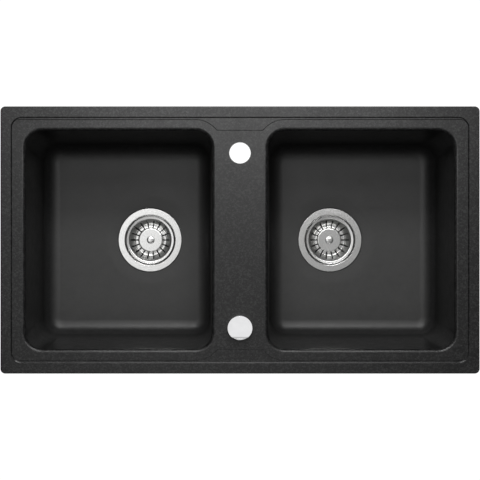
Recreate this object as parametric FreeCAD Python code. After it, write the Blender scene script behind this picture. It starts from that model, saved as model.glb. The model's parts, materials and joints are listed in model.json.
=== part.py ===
import FreeCAD, Part
import math
import os
from FreeCAD import Rotation, Vector

# A double bowl kitchen sink, moulded in stone composite. Each bowl has a pop-up basket waste, one
# turning knob at the front works both wastes, and eight swivelling clips hold the sink down in
# the cut-out of a worktop.
# Sizes are millimetres. X runs from left to right, Y from front to back and Z up. The origin is
# in the middle of the sink in plan, at the height of the worktop that the rim rests on.

# ---------------------------------------------------------------- moulding: outline and levels
sink_width = 780.0
sink_depth = 435.0
outline_corner = 8.0
rim_height = 10.0
rim_edge_round = 2.0
rim_band = 18.0            # from the outer edge to the first step line
step_one_drop = 1.2        # rim down to ledge
step_two_drop = 1.0        # ledge down to deck
step_run = 1.8             # width of each sloped step
step_one_corner = 16.0
step_spacing = 3.0         # between the two step lines, at the front and the back
ledge_depth = 17.4         # the middle ledges reach this far in from the second step line
step_overlap = 0.5         # the first pocket stops this much inside the second at the sides
deck_thickness = 10.0
seat_width = 16.0          # flat ring under the rim that lies on the worktop

# ---------------------------------------------------------------- moulding: the two bowls
bowl_side_margin = 40.5    # outer edge of the sink to the bowl wall, left and right
bowl_end_margin = 39.5     # the same at the front and the back
bowl_bridge = 92.0         # between the two bowls
bowl_depth = 165.0
bowl_side_draft = 7.0      # the left and right walls lean in this much from mouth to floor
bowl_end_draft = 13.3      # and the front and back walls this much
bowl_corner = 27.0
bowl_low_corner = 30.0
bowl_floor_round = 25.6
bowl_mouth_round = 6.0
bowl_wall = 8.0
floor_thickness = 9.0
drain_offset = 38.15       # drain centre from the bowl's middle, towards the bridge

# ---------------------------------------------------------------- moulding: holes and bosses
drain_hole_diameter = 92.0
drain_boss_width = 14.0    # ring of thicker floor round the drain hole
drain_boss_drop = 4.0
drain_dish_width = 23.0    # shallow dish in the floor round the flange
drain_dish_drop = 1.0
deck_hole_diameter = 35.0  # tap hole, and the same hole for the knob
deck_hole_inset = 75.5     # from the front or back edge of the sink
clip_boss_radius = 6.5
clip_boss_length = 10.0

# ---------------------------------------------------------------- strainer flange and basket
flange_diameter = 113.0
flange_sheet = 0.8
flange_gasket_thickness = 1.2
flange_gap = 1.5           # flange edge to the side of its recess
rim_wall_radius = 44.2     # inside of the flange, where the basket's rim drops in
shoulder_drop = 3.2
shoulder_slope = 0.4
cup_radius = 38.5
cup_depth = 28.0
drain_mouth_radius = 25.0
collar_length = 6.0
spider_width = 5.0
spider_thickness = 2.0
hub_radius = 8.0

basket_rim_gap = 0.5
basket_wall_gap = 0.5
basket_sheet = 0.8
basket_bead = 1.2          # the rim's edge stands up by this much
basket_depth = 19.2
basket_fold_radius = 27.7  # inside edge of the floor, where the cone of the wall begins
basket_fold_run = 1.7      # the rounded fold between floor and wall, outwards and up
basket_fold_rise = 2.5
basket_disc_radius = 20.9
basket_disc_drop = 14.6
slot_count = 18
slot_width = 2.2
slot_inner_radius = 23.0
slot_outer_radius = 34.2
grip_radius = 6.8
grip_height = 3.6
grip_neck_radius = 4.9
grip_edge_round = 0.7
stem_radius = 3.0
stem_shoulder_radius = 5.0
stopper_radius = 30.0
stopper_thickness = 3.0
stopper_edge_round = 0.75

# ---------------------------------------------------------------- waste body and lifting gear
waste_gasket_thickness = 2.0
waste_ring_radius = 57.0
waste_ring_thickness = 4.0
chamber_radius = 46.0
chamber_depth = 33.0
neck_radius = 36.0
neck_cone = 8.0
waste_wall = 3.5
outlet_outer_radius = 23.9
outlet_wall = 3.4
outlet_length = 24.0
outlet_cone = 14.0
insert_boss_length = 16.0
insert_boss_gap = 14.0     # spider down to the insert's boss
insert_boss_wall = 3.0
insert_wall = 3.0
arm_width = 4.0
bolt_shank_radius = 5.0
bolt_head_radius = 7.5
bolt_head_height = 2.5
bolt_slot_width = 1.2
bolt_slot_depth = 1.2
lift_pin_radius = 3.0
pin_overlap = 1.5          # the pin still stands out of the boss by this much when lifted
crank_radius = 14.0
crank_rest_angle = 17.0    # the crank starts this far below level and ends as far above it
crank_arm_thickness = 5.0
crank_arm_height = 4.2
crank_hub_radius = 6.0
roller_radius = 3.0
shaft_radius = 4.0
shaft_boss_radius = 8.0
shaft_boss_reach = 52.0    # from the drain's centre to the boss's outer end
shaft_seal_radius = 6.5
shaft_seal_length = 4.0
lever_radius = 35.0
lever_thickness = 4.0
lever_hub_radius = 8.0
lever_tip_radius = 5.0
lever_arm_width = 8.0
lever_screw_head_radius = 6.0
lever_gap = 0.6            # boss end to lever hub
nipple_hole_radius = 2.0
bracket_thickness = 5.0
bracket_reach = 43.0       # drain centre to the bracket's inner face, towards the bridge
bracket_height = 20.0
gland_radius = 4.0
gland_bore_radius = 1.6
gland_length = 22.0
gland_collar_radius = 6.0

# ---------------------------------------------------------------- turning knob and cable drum
knob_diameter = 40.5
knob_height = 16.0         # top of the knob above the deck
knob_edge_round = 3.5
knob_lip_offset = 14.6     # centre of the knob to the foot of its lip
knob_lip_slope = 2.6       # the lip's wall leans forward by this much over the face's drop
knob_face_drop = 2.8       # the slanted face is this low at the lip
knob_face_back_drop = 1.0  # and this low at the back
knob_bore_cover = 4.8      # material left between the spindle and the top
rosette_thickness = 3.5
rosette_edge_round = 0.6
spindle_way = 1.0          # round the spindle, in the rosette and in the housing's roof
rosette_seal_thickness = 1.0
rosette_seal_inset = 1.0   # the seal's edge lies this far inside the rosette's
bush_radius = 16.5
bush_flange_radius = 19.0
bush_flange_thickness = 1.5
bush_length_below = 22.0   # bush below the deck
back_washer_radius = 26.0
back_washer_thickness = 2.0
lock_nut_across_flats = 46.0
lock_nut_height = 8.0
spindle_radius = 5.0
spindle_ring_radius = 7.0
spindle_ring_height = 2.5
drum_radius = 12.0
drum_flange = 2.0
drum_height = 9.8
drum_housing_radius = 26.0
drum_housing_wall = 3.0
housing_collar_length = 6.0
cable_outlet_radius = 4.0
cable_outlet_reach = 36.0
drum_screw_radius = 2.0
drum_screw_head_radius = 6.0
drum_screw_head_height = 2.5
drum_screw_length = 10.0

# ---------------------------------------------------------------- fixing clips
clip_inset_from_seat = 7.5     # clip pivot to the inner edge of the seat ring
clip_end_inset = 130.0         # sink's left or right edge to the pivots of its corner clips
clip_width = 12.0
clip_sheet = 1.5
clip_leg_offset = 8.0          # pivot to the clip's upright leg
clip_drop = 28.0
clip_foot = 22.0
clip_tip = 2.0
clip_bend_round = 1.4
clip_plug_radius = 4.0
clip_plug_depth = 14.0
clip_screw_radius = 2.0
clip_screw_head_radius = 4.5
clip_screw_head_height = 2.4
clip_screw_grip = 11.0         # screw inside its plug

# ---------------------------------------------------------------- clearances
moving_gap = 0.3               # between bodies that move past each other
shaft_gap = 0.1                # round a shaft or a pin in its bore

# ---------------------------------------------------------------- worked out
rim_top = rim_height
ledge_top = rim_top - step_one_drop
deck_top = ledge_top - step_two_drop
deck_under = deck_top - deck_thickness
floor_top = deck_top - bowl_depth
floor_under = floor_top - floor_thickness
drain_boss_under = floor_under - drain_boss_drop

bowl_half_x = (sink_width / 2 - bowl_side_margin - bowl_bridge / 2) / 2
bowl_half_y = sink_depth / 2 - bowl_end_margin
bowl_centre = bowl_bridge / 2 + bowl_half_x
drain_x = bowl_centre - drain_offset
drain_hole_radius = drain_hole_diameter / 2
recess_radius = flange_diameter / 2 + flange_gap
recess_floor = floor_top - drain_dish_drop - flange_sheet - flange_gasket_thickness
flange_top = recess_floor + flange_gasket_thickness + flange_sheet

deck_hole_radius = deck_hole_diameter / 2
tap_hole_y = sink_depth / 2 - deck_hole_inset
knob_y = -tap_hole_y
seat_half_x = sink_width / 2 - seat_width
seat_half_y = sink_depth / 2 - seat_width

shoulder_top = flange_top - shoulder_drop
cup_floor = flange_top - cup_depth
spider_top = cup_floor - collar_length + spider_thickness
insert_boss_top = spider_top - insert_boss_gap
insert_boss_under = insert_boss_top - insert_boss_length
insert_radius = bolt_shank_radius + insert_wall
stopper_under = cup_floor + moving_gap
lift_pin_top = stopper_under - moving_gap
lift = 2 * crank_radius * math.sin(math.radians(crank_rest_angle))
lift_pin_bottom = insert_boss_under - lift - pin_overlap
roller_rest_z = lift_pin_bottom - moving_gap - roller_radius
shaft_z = roller_rest_z + lift / 2
shaft_offset = crank_radius * (1 + math.cos(math.radians(crank_rest_angle))) / 2
waste_top = drain_boss_under - waste_gasket_thickness
neck_top = waste_top - chamber_depth - neck_cone
neck_bottom = roller_rest_z - roller_radius - waste_wall
outlet_top = neck_bottom - outlet_cone
outlet_bottom = outlet_top - outlet_length
lever_tip_z = shaft_z + lever_radius
lever_near_y = -(shaft_boss_reach + lever_gap)
lever_far_y = lever_near_y - lever_thickness

bush_under = deck_under - bush_length_below
housing_under = bush_under - 3 * drum_housing_wall - drum_height - drum_screw_head_height
drum_top = bush_under - drum_housing_wall - moving_gap
drum_bottom = drum_top - drum_height
knob_under = deck_top + rosette_seal_thickness + rosette_thickness + moving_gap
knob_top = deck_top + knob_height
spindle_top = knob_top - knob_bore_cover

clip_boss_under = deck_under - clip_boss_length
clip_top = clip_boss_under - moving_gap
clip_column = sink_width / 2 - clip_end_inset
clip_line_x = seat_half_x - clip_inset_from_seat
clip_line_y = seat_half_y - clip_inset_from_seat

far = 1000.0                   # longer than anything here, for cutting tools
up = Vector(0, 0, 1)
parts = {}


# ---------------------------------------------------------------- drawing helpers
def arc(centre_x, centre_y, radius, start, end, z):
    """Level arc about a centre, from one angle in degrees to another."""
    spots = []
    for angle in (start, (start + end) / 2, end):
        turn = math.radians(angle)
        spots.append(Vector(centre_x + radius * math.cos(turn), centre_y + radius * math.sin(turn), z))
    return Part.Arc(*spots)


def join(arcs):
    """Closed outline through arcs, with a straight edge from each to the next."""
    edges = []
    for here, after in zip(arcs, arcs[1:] + arcs[:1]):
        edges.append(here.toShape())
        edges.append(Part.LineSegment(here.EndPoint, after.StartPoint).toShape())
    return Part.Wire(edges)


def rounded_rectangle(half_x, half_y, corner, z, centre_x=0.0):
    """Level outline with four equal corners."""
    right = centre_x + half_x - corner
    left = centre_x - half_x + corner
    back = half_y - corner
    return join([
        arc(right, -back, corner, -90, 0, z),
        arc(right, back, corner, 0, 90, z),
        arc(left, back, corner, 90, 180, z),
        arc(left, -back, corner, 180, 270, z),
    ])


def skin(lower, upper):
    """Solid between two outlines with the same number of edges."""
    return Part.makeLoft([lower, upper], True, True)


def block(half_x, half_y, corner, bottom, top, centre_x=0.0):
    """Upright block with rounded corners."""
    outline = rounded_rectangle(half_x, half_y, corner, bottom, centre_x)
    return Part.Face(outline).extrude(Vector(0, 0, top - bottom))


def turned(profile, x=0.0, y=0.0):
    """Solid turned about an upright axis from radius and height pairs."""
    spots = [Vector(x + radius, y, z) for radius, z in profile]
    face = Part.Face(Part.makePolygon(spots + spots[:1]))
    return face.revolve(Vector(x, y, 0), up, 360)


def rod(radius, bottom, top, x=0.0, y=0.0):
    """Upright cylinder."""
    return Part.makeCylinder(radius, top - bottom, Vector(x, y, bottom), up)


def ring(outer, inner, bottom, top, x=0.0, y=0.0):
    """Upright tube."""
    return rod(outer, bottom, top, x, y).cut(rod(inner, bottom, top, x, y))


def level_rod(radius, start, end):
    """Cylinder between two points."""
    run = end - start
    return Part.makeCylinder(radius, run.Length, start, run)


def bar(size_x, size_y, size_z, x, y, z):
    """Box about a middle point."""
    return Part.makeBox(size_x, size_y, size_z, Vector(x - size_x / 2, y - size_y / 2, z - size_z / 2))


def soften(solid, radius, chosen):
    """Round the edges that the chosen test picks."""
    return solid.makeFillet(radius, [edge for edge in solid.Edges if chosen(edge)])


def circle_at(*places):
    """Test for round edges at given radius and height pairs."""
    def chosen(edge):
        if not isinstance(edge.Curve, Part.Circle):
            return False
        return any(math.isclose(edge.Curve.Radius, radius, abs_tol=0.01)
                   and math.isclose(edge.Curve.Center.z, z, abs_tol=0.01) for radius, z in places)
    return chosen


def level_at(z):
    """Test for edges that lie level at one height."""
    def chosen(edge):
        box = edge.BoundBox
        return abs(box.ZMin - z) < 0.01 and abs(box.ZMax - z) < 0.01
    return chosen


def gather(solids):
    """Separate solids that share one name."""
    return Part.makeCompound(solids)


# ---------------------------------------------------------------- the moulding
def deck_outline(grow, z):
    """Outline of the sunk deck: a rounded rectangle with a ledge let in at the middle of each end."""
    half_x = sink_width / 2 - rim_band + grow
    half_y = sink_depth / 2 - rim_band - step_spacing + grow
    corner = step_one_corner - step_spacing + grow
    swing_x = bowl_bridge / 2 + bowl_corner
    swing_y = bowl_half_y - bowl_corner
    swing = half_y - swing_y
    ledge_y = half_y - ledge_depth
    reach = math.degrees(math.asin((ledge_y - swing_y) / swing))
    return join([
        arc(half_x - corner, corner - half_y, corner, -90, 0, z),
        arc(half_x - corner, half_y - corner, corner, 0, 90, z),
        arc(swing_x, swing_y, swing, 90, 180 - reach, z),
        arc(-swing_x, swing_y, swing, reach, 90, z),
        arc(corner - half_x, half_y - corner, corner, 90, 180, z),
        arc(corner - half_x, corner - half_y, corner, 180, 270, z),
        arc(-swing_x, -swing_y, swing, 270, 360 - reach, z),
        arc(swing_x, -swing_y, swing, 180 + reach, 270, z),
    ])


def bowl_block(grow, top, bottom, floor_round, centre_x):
    """Tapered block with rounded corners and a rounded floor edge, grown outwards by a wall."""
    def outline(z):
        fall = (deck_top - z) / bowl_depth
        half_x = bowl_half_x - bowl_side_draft * fall + grow
        half_y = bowl_half_y - bowl_end_draft * fall + grow
        corner = bowl_corner + (bowl_low_corner - bowl_corner) * fall + grow
        return rounded_rectangle(half_x, half_y, corner, z, centre_x)
    return soften(skin(outline(bottom), outline(top)), floor_round, level_at(bottom))


def step_one_pocket():
    """What is cut down to the ledge level."""
    half_x = sink_width / 2 - rim_band - step_overlap
    half_y = sink_depth / 2 - rim_band
    lower = rounded_rectangle(half_x - step_run / 2, half_y - step_run / 2,
                              step_one_corner - step_run / 2, ledge_top)
    upper = rounded_rectangle(half_x + step_run / 2, half_y + step_run / 2,
                              step_one_corner + step_run / 2, rim_top)
    cap = block(half_x + step_run / 2, half_y + step_run / 2, step_one_corner + step_run / 2,
                rim_top, rim_top + step_one_drop)
    return skin(lower, upper).fuse(cap)


def step_two_pocket():
    """What is cut down to the deck level."""
    drop = step_one_drop + step_two_drop
    grow = step_run / 2
    rise = step_run / drop
    return skin(deck_outline(-grow, deck_top), deck_outline(grow + rise * step_two_drop, rim_top + step_two_drop))


def clip_places():
    """Pivot points of the clips, with each clip's name and the direction that it swings out to."""
    places = []
    for row, side, outward in (("back", 1, 90), ("front", -1, -90)):
        for word, column in (("left", -1), ("middle", 0), ("right", 1)):
            places.append((row + "_" + word, column * clip_column, side * clip_line_y, outward))
    places.append(("left_side", -clip_line_x, 0.0, 180))
    places.append(("right_side", clip_line_x, 0.0, 0))
    return places


def make_sink_body():
    """The one-piece moulding."""
    body = block(sink_width / 2, sink_depth / 2, outline_corner, 0.0, rim_top)
    body = soften(body, rim_edge_round, level_at(rim_top))
    body = body.fuse(block(seat_half_x, seat_half_y, outline_corner, deck_under, deck_top - step_one_drop))
    for side in (-1, 1):
        shell = bowl_block(bowl_wall, deck_under + bowl_wall, floor_under, bowl_floor_round + bowl_wall,
                           side * bowl_centre)
        boss = rod(drain_hole_radius + drain_boss_width, drain_boss_under, floor_top, side * drain_x)
        body = body.fuse([shell, boss])
    for name, x, y, outward in clip_places():
        body = body.fuse(rod(clip_boss_radius, clip_boss_under, deck_under + step_one_drop, x, y))
    body = body.cut(step_one_pocket())
    body = body.cut(step_two_pocket())
    for side in (-1, 1):
        body = body.cut(bowl_block(0.0, deck_top + step_one_drop, floor_top, bowl_floor_round,
                                   side * bowl_centre))
    body = soften(body, bowl_mouth_round, mouth_edge)
    for side in (-1, 1):
        x = side * drain_x
        body = body.cut(turned([
            (0.0, recess_floor),
            (recess_radius, recess_floor),
            (recess_radius, floor_top - drain_dish_drop),
            (recess_radius + drain_dish_width, floor_top),
            (recess_radius + drain_dish_width, floor_top + drain_dish_drop),
            (0.0, floor_top + drain_dish_drop),
        ], x))
        body = body.cut(rod(drain_hole_radius, drain_boss_under - 1, floor_top, x))
    for y in (tap_hole_y, knob_y):
        body = body.cut(rod(deck_hole_radius, deck_under - 1, deck_top + 1, 0.0, y))
    for name, x, y, outward in clip_places():
        body = body.cut(rod(clip_plug_radius, clip_boss_under - 1, clip_boss_under + clip_plug_depth, x, y))
    return body.removeSplitter()


def mouth_edge(edge):
    """Test for the edges where a bowl's wall meets the deck."""
    box = edge.BoundBox
    middle = abs(box.Center.x) - bowl_centre
    inside = abs(middle) < bowl_half_x + 1 and abs(box.Center.y) < bowl_half_y + 1
    return inside and abs(box.ZMin - deck_top) < 0.01 and abs(box.ZMax - deck_top) < 0.01


# ---------------------------------------------------------------- one waste, made for each bowl
def make_flange(x):
    """Pressed cup with a flat rim, a shoulder for the basket and a spider for the bolt."""
    sheet = flange_sheet
    edge = flange_diameter / 2
    wall = rim_wall_radius
    under = cup_floor - collar_length
    cup = turned([
        (edge, flange_top - 2 * sheet),
        (edge, flange_top - sheet),
        (edge - sheet, flange_top),
        (wall + sheet, flange_top),
        (wall, flange_top - sheet),
        (wall, shoulder_top),
        (cup_radius, shoulder_top - shoulder_slope),
        (cup_radius, cup_floor),
        (drain_mouth_radius, cup_floor),
        (drain_mouth_radius, under),
        (drain_mouth_radius + sheet, under),
        (drain_mouth_radius + sheet, cup_floor - sheet),
        (cup_radius + sheet, cup_floor - sheet),
        (cup_radius + sheet, shoulder_top - shoulder_slope - sheet),
        (wall + sheet, shoulder_top - sheet),
        (wall + sheet, flange_top - sheet),
        (edge - sheet, flange_top - sheet),
        (edge - sheet, flange_top - 2 * sheet),
    ], x)
    spider = rod(hub_radius, under, spider_top, x)
    for turn in (0, 90):
        arm = bar(2 * drain_mouth_radius + sheet, spider_width, spider_thickness, 0, 0, 0)
        arm.rotate(Vector(0, 0, 0), up, turn)
        arm.translate(Vector(x, 0, spider_top - spider_thickness / 2))
        spider = spider.fuse(arm)
    spider = spider.cut(rod(bolt_shank_radius, under, spider_top, x))
    return cup.fuse(spider)


def make_basket(x):
    """Strainer basket with a flat rim, a conical wall, radial slots and a raised middle."""
    sheet = basket_sheet
    rim = rim_wall_radius - basket_rim_gap
    rim_under = shoulder_top + moving_gap
    wall = cup_radius - basket_wall_gap
    low = flange_top - basket_depth
    disc = flange_top - basket_disc_drop
    foot = basket_fold_radius + basket_fold_run
    basket = turned([
        (rim, rim_under),
        (rim, rim_under + sheet + basket_bead / 2),
        (rim - sheet, rim_under + sheet + basket_bead),
        (rim - 2 * sheet, rim_under + sheet),
        (wall - sheet, rim_under + sheet),
        (foot, low + basket_fold_rise),
        (basket_fold_radius, low),
        (slot_inner_radius, low),
        (basket_disc_radius, disc),
        (stem_radius, disc),
        (stem_radius, disc - sheet),
        (basket_disc_radius - sheet, disc - sheet),
        (slot_inner_radius - sheet, low - sheet),
        (basket_fold_radius + sheet / 2, low - sheet),
        (foot + sheet, low + basket_fold_rise - sheet / 2),
        (wall, rim_under),
    ], x)
    middle = (slot_inner_radius + slot_outer_radius) / 2
    reach = slot_outer_radius - slot_inner_radius - slot_width
    bottom = low - 2 * sheet
    tall = rim_under - bottom
    slots = []
    for number in range(slot_count):
        slot = bar(reach, slot_width, tall, middle, 0, bottom + tall / 2)
        for end in (middle - reach / 2, middle + reach / 2):
            slot = slot.fuse(rod(slot_width / 2, bottom, bottom + tall, end))
        slot.rotate(Vector(0, 0, 0), up, 360.0 * number / slot_count)
        slot.translate(Vector(x, 0, 0))
        slots.append(slot)
    return basket.cut(slots)


def make_grip(x):
    """Small round grip on top of the basket."""
    foot = flange_top - basket_disc_drop
    top = foot + grip_height
    bore_top = top - grip_height / 2
    grip = turned([
        (stem_radius, foot),
        (grip_neck_radius, foot),
        (grip_neck_radius, foot + grip_height / 3),
        (grip_radius, foot + grip_height / 2),
        (grip_radius, top),
        (0.0, top),
        (0.0, bore_top),
        (stem_radius, bore_top),
    ], x)
    return soften(grip, grip_edge_round, circle_at((grip_radius, top)))


def make_stem(x):
    """Pin that joins grip, basket and stopper."""
    disc_under = flange_top - basket_disc_drop - basket_sheet
    stopper_top = stopper_under + stopper_thickness
    return turned([
        (0.0, stopper_under),
        (stem_radius, stopper_under),
        (stem_radius, stopper_top),
        (stem_shoulder_radius, stopper_top),
        (stem_shoulder_radius, disc_under),
        (stem_radius, disc_under),
        (stem_radius, flange_top - basket_disc_drop + grip_height / 2),
        (0.0, flange_top - basket_disc_drop + grip_height / 2),
    ], x)


def make_stopper(x):
    """Rubber disc that shuts the drain mouth."""
    top = stopper_under + stopper_thickness
    disc = ring(stopper_radius, stem_radius, stopper_under, top, x)
    return soften(disc, stopper_edge_round, circle_at((stopper_radius, stopper_under), (stopper_radius, top)))


def make_bolt(x):
    """Hollow bolt that draws flange and waste body together, with the lift pin inside it."""
    under = insert_boss_under + moving_gap
    head = ring(bolt_head_radius, lift_pin_radius + shaft_gap, spider_top, spider_top + bolt_head_height, x)
    slot = bar(2 * bolt_head_radius, bolt_slot_width, bolt_slot_depth, x, 0.0,
               spider_top + bolt_head_height - bolt_slot_depth / 2)
    shank = ring(bolt_shank_radius, lift_pin_radius + shaft_gap, under, spider_top, x)
    return head.cut(slot).fuse(shank)


def make_waste_body(x, inward):
    """Moulded chamber under the floor, with the insert's boss, the shaft's boss and the cable bracket."""
    wall = waste_wall
    body = turned([
        (0.0, waste_top),
        (waste_ring_radius, waste_top),
        (waste_ring_radius, waste_top - waste_ring_thickness),
        (chamber_radius + wall, waste_top - waste_ring_thickness),
        (chamber_radius + wall, waste_top - chamber_depth),
        (neck_radius + wall, neck_top),
        (neck_radius + wall, neck_bottom),
        (outlet_outer_radius, outlet_top),
        (outlet_outer_radius, outlet_bottom),
        (0.0, outlet_bottom),
    ], x)
    shaft_x = x + inward * shaft_offset
    boss = level_rod(shaft_boss_radius, Vector(shaft_x, 0, shaft_z), Vector(shaft_x, -shaft_boss_reach, shaft_z))
    bracket_y = (lever_near_y + lever_far_y) / 2
    bracket_depth = gland_radius * 2 - bracket_y
    bracket = bar(bracket_thickness, bracket_depth, bracket_height,
                  x + inward * (bracket_reach + bracket_thickness / 2), -bracket_depth / 2, lever_tip_z)
    body = body.fuse([boss, bracket])
    body = body.cut(turned([
        (0.0, waste_top),
        (chamber_radius, waste_top),
        (chamber_radius, waste_top - chamber_depth),
        (neck_radius, neck_top),
        (neck_radius, neck_bottom),
        (outlet_outer_radius - outlet_wall, outlet_top),
        (outlet_outer_radius - outlet_wall, outlet_bottom),
        (0.0, outlet_bottom),
    ], x))
    hub = rod(insert_radius + insert_boss_wall, insert_boss_under, insert_boss_top, x)
    arm_top = neck_top
    arm_z = (arm_top + insert_boss_under) / 2
    for turn in (0, 90):
        arm = bar(2 * neck_radius + wall, arm_width, arm_top - insert_boss_under, 0, 0, 0)
        arm.rotate(Vector(0, 0, 0), up, turn)
        arm.translate(Vector(x, 0, arm_z))
        hub = hub.fuse(arm)
    hub = hub.cut(rod(insert_radius, insert_boss_under, insert_boss_top, x))
    body = body.fuse(hub)
    inside = Vector(shaft_x, 0, shaft_z)
    body = body.cut(level_rod(shaft_radius + shaft_gap, inside, Vector(shaft_x, -shaft_boss_reach, shaft_z)))
    body = body.cut(level_rod(shaft_seal_radius, Vector(shaft_x, shaft_seal_length - shaft_boss_reach, shaft_z),
                              Vector(shaft_x, -shaft_boss_reach, shaft_z)))
    body = body.cut(level_rod(gland_radius, Vector(x, bracket_y, lever_tip_z),
                              Vector(x + inward * far, bracket_y, lever_tip_z)))
    return body


def make_crank(x, inward):
    """Shaft with a crank arm whose round end lifts the pin."""
    shaft_x = x + inward * shaft_offset
    tilt = math.radians(crank_rest_angle)
    tip_x = shaft_x - inward * crank_radius * math.cos(tilt)
    half = crank_arm_thickness / 2
    shaft = level_rod(shaft_radius, Vector(shaft_x, half, shaft_z), Vector(shaft_x, lever_far_y, shaft_z))
    hub = level_rod(crank_hub_radius, Vector(shaft_x, half, shaft_z), Vector(shaft_x, -half, shaft_z))
    tip = level_rod(roller_radius, Vector(tip_x, half, roller_rest_z), Vector(tip_x, -half, roller_rest_z))
    arm = bar(crank_radius, crank_arm_thickness, crank_arm_height, 0, 0, 0)
    arm.rotate(Vector(0, 0, 0), Vector(0, 1, 0), -inward * crank_rest_angle)
    arm.translate(Vector((shaft_x + tip_x) / 2, 0, (shaft_z + roller_rest_z) / 2))
    hole = level_rod(drum_screw_radius, Vector(shaft_x, lever_far_y + drum_screw_length, shaft_z),
                     Vector(shaft_x, lever_far_y, shaft_z))
    return shaft.fuse([hub, tip, arm]).cut(hole)


def make_lever(x, inward):
    """Outer lever that the cable pulls."""
    shaft_x = x + inward * shaft_offset
    lean = math.radians(crank_rest_angle)
    tip_x = shaft_x - inward * lever_radius * math.sin(lean)
    tip_z = shaft_z + lever_radius * math.cos(lean)
    near = Vector(0, lever_near_y, 0)
    far_end = Vector(0, lever_far_y, 0)
    foot = Vector(shaft_x, 0, shaft_z)
    tip = Vector(tip_x, 0, tip_z)
    hub = level_rod(lever_hub_radius, foot + near, foot + far_end)
    end = level_rod(lever_tip_radius, tip + near, tip + far_end)
    arm = bar(lever_arm_width, lever_thickness, lever_radius, 0, 0, 0)
    arm.rotate(Vector(0, 0, 0), Vector(0, 1, 0), -inward * crank_rest_angle)
    arm.translate((foot + tip) * 0.5 + (near + far_end) * 0.5)
    lever = hub.fuse([end, arm])
    lever = lever.cut(level_rod(shaft_radius, foot + near, foot + far_end))
    return lever.cut(level_rod(nipple_hole_radius, tip + near, tip + far_end))


def make_lever_screw(x, inward):
    """Screw that holds the lever on its shaft."""
    shaft_x = x + inward * shaft_offset
    neck = Vector(shaft_x, lever_far_y, shaft_z)
    inner = Vector(shaft_x, lever_far_y + drum_screw_length, shaft_z)
    outer = Vector(shaft_x, lever_far_y - drum_screw_head_height, shaft_z)
    head = level_rod(lever_screw_head_radius, neck, outer)
    return head.fuse(level_rod(drum_screw_radius, inner, neck))


def make_gland(x, inward):
    """Hollow fitting that takes the end of a cable's sheath."""
    y = (lever_near_y + lever_far_y) / 2
    middle = x + inward * (bracket_reach + bracket_thickness)
    start = Vector(middle - inward * gland_length / 2, y, lever_tip_z)
    end = Vector(middle + inward * gland_length / 2, y, lever_tip_z)
    collar = level_rod(gland_collar_radius, Vector(middle, y, lever_tip_z),
                       Vector(middle + inward * bracket_thickness, y, lever_tip_z))
    gland = level_rod(gland_radius, start, end).fuse(collar)
    return gland.cut(level_rod(gland_bore_radius, start, end))


def make_waste(side, sign):
    """All the pieces of one waste, named for their side."""
    x = sign * drain_x
    inward = -sign
    shaft_x = x + inward * shaft_offset
    parts[side + "_strainer_flange"] = make_flange(x)
    parts[side + "_flange_gasket"] = ring(flange_diameter / 2 - 2 * flange_sheet, drain_hole_radius,
                                          recess_floor, recess_floor + flange_gasket_thickness, x)
    parts[side + "_waste_gasket"] = ring(waste_ring_radius, chamber_radius, waste_top, drain_boss_under, x)
    parts[side + "_waste_body"] = make_waste_body(x, inward)
    parts[side + "_threaded_insert"] = ring(insert_radius, bolt_shank_radius, insert_boss_under,
                                            insert_boss_top, x)
    parts[side + "_hollow_bolt"] = make_bolt(x)
    parts[side + "_lift_pin"] = rod(lift_pin_radius, lift_pin_bottom, lift_pin_top, x)
    parts[side + "_crank_shaft"] = make_crank(x, inward)
    seal_start = Vector(shaft_x, shaft_seal_length - shaft_boss_reach, shaft_z)
    seal_end = Vector(shaft_x, -shaft_boss_reach, shaft_z)
    parts[side + "_shaft_seal"] = level_rod(shaft_seal_radius, seal_start, seal_end).cut(
        level_rod(shaft_radius + shaft_gap, seal_start, seal_end))
    parts[side + "_crank_lever"] = make_lever(x, inward)
    parts[side + "_lever_screw"] = make_lever_screw(x, inward)
    parts[side + "_cable_gland"] = make_gland(x, inward)
    parts[side + "_basket"] = make_basket(x)
    parts[side + "_basket_grip"] = make_grip(x)
    parts[side + "_basket_stem"] = make_stem(x)
    parts[side + "_stopper_seal"] = make_stopper(x)


# ---------------------------------------------------------------- the turning knob and its drum
def make_knob():
    """Round knob with a rounded edge, cut by a slanted face that leaves a lip at the front."""
    radius = knob_diameter / 2
    knob = rod(radius, knob_under, knob_top, 0.0, knob_y)
    knob = soften(knob, knob_edge_round, circle_at((radius, knob_top)))
    lip_y = knob_y - knob_lip_offset
    profile = Part.makePolygon([
        Vector(-far, lip_y, knob_top - knob_face_drop),
        Vector(-far, lip_y - 2 * knob_lip_slope, knob_top + knob_face_drop),
        Vector(-far, knob_y + radius, knob_top + knob_face_drop),
        Vector(-far, knob_y + radius, knob_top - knob_face_back_drop),
        Vector(-far, lip_y, knob_top - knob_face_drop),
    ])
    knob = knob.cut(Part.Face(profile).extrude(Vector(2 * far, 0, 0)))
    return knob.cut(rod(spindle_radius, knob_under, spindle_top, 0.0, knob_y))


def make_rosette():
    """Cap ring between knob and deck that hides the bush's flange."""
    bottom = deck_top + rosette_seal_thickness
    top = bottom + rosette_thickness
    rosette = ring(knob_diameter / 2, spindle_radius + spindle_way, bottom, top, 0.0, knob_y)
    rosette = rosette.cut(rod(bush_flange_radius, bottom, bottom + bush_flange_thickness, 0.0, knob_y))
    return soften(rosette, rosette_edge_round, circle_at((knob_diameter / 2, top)))


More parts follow.
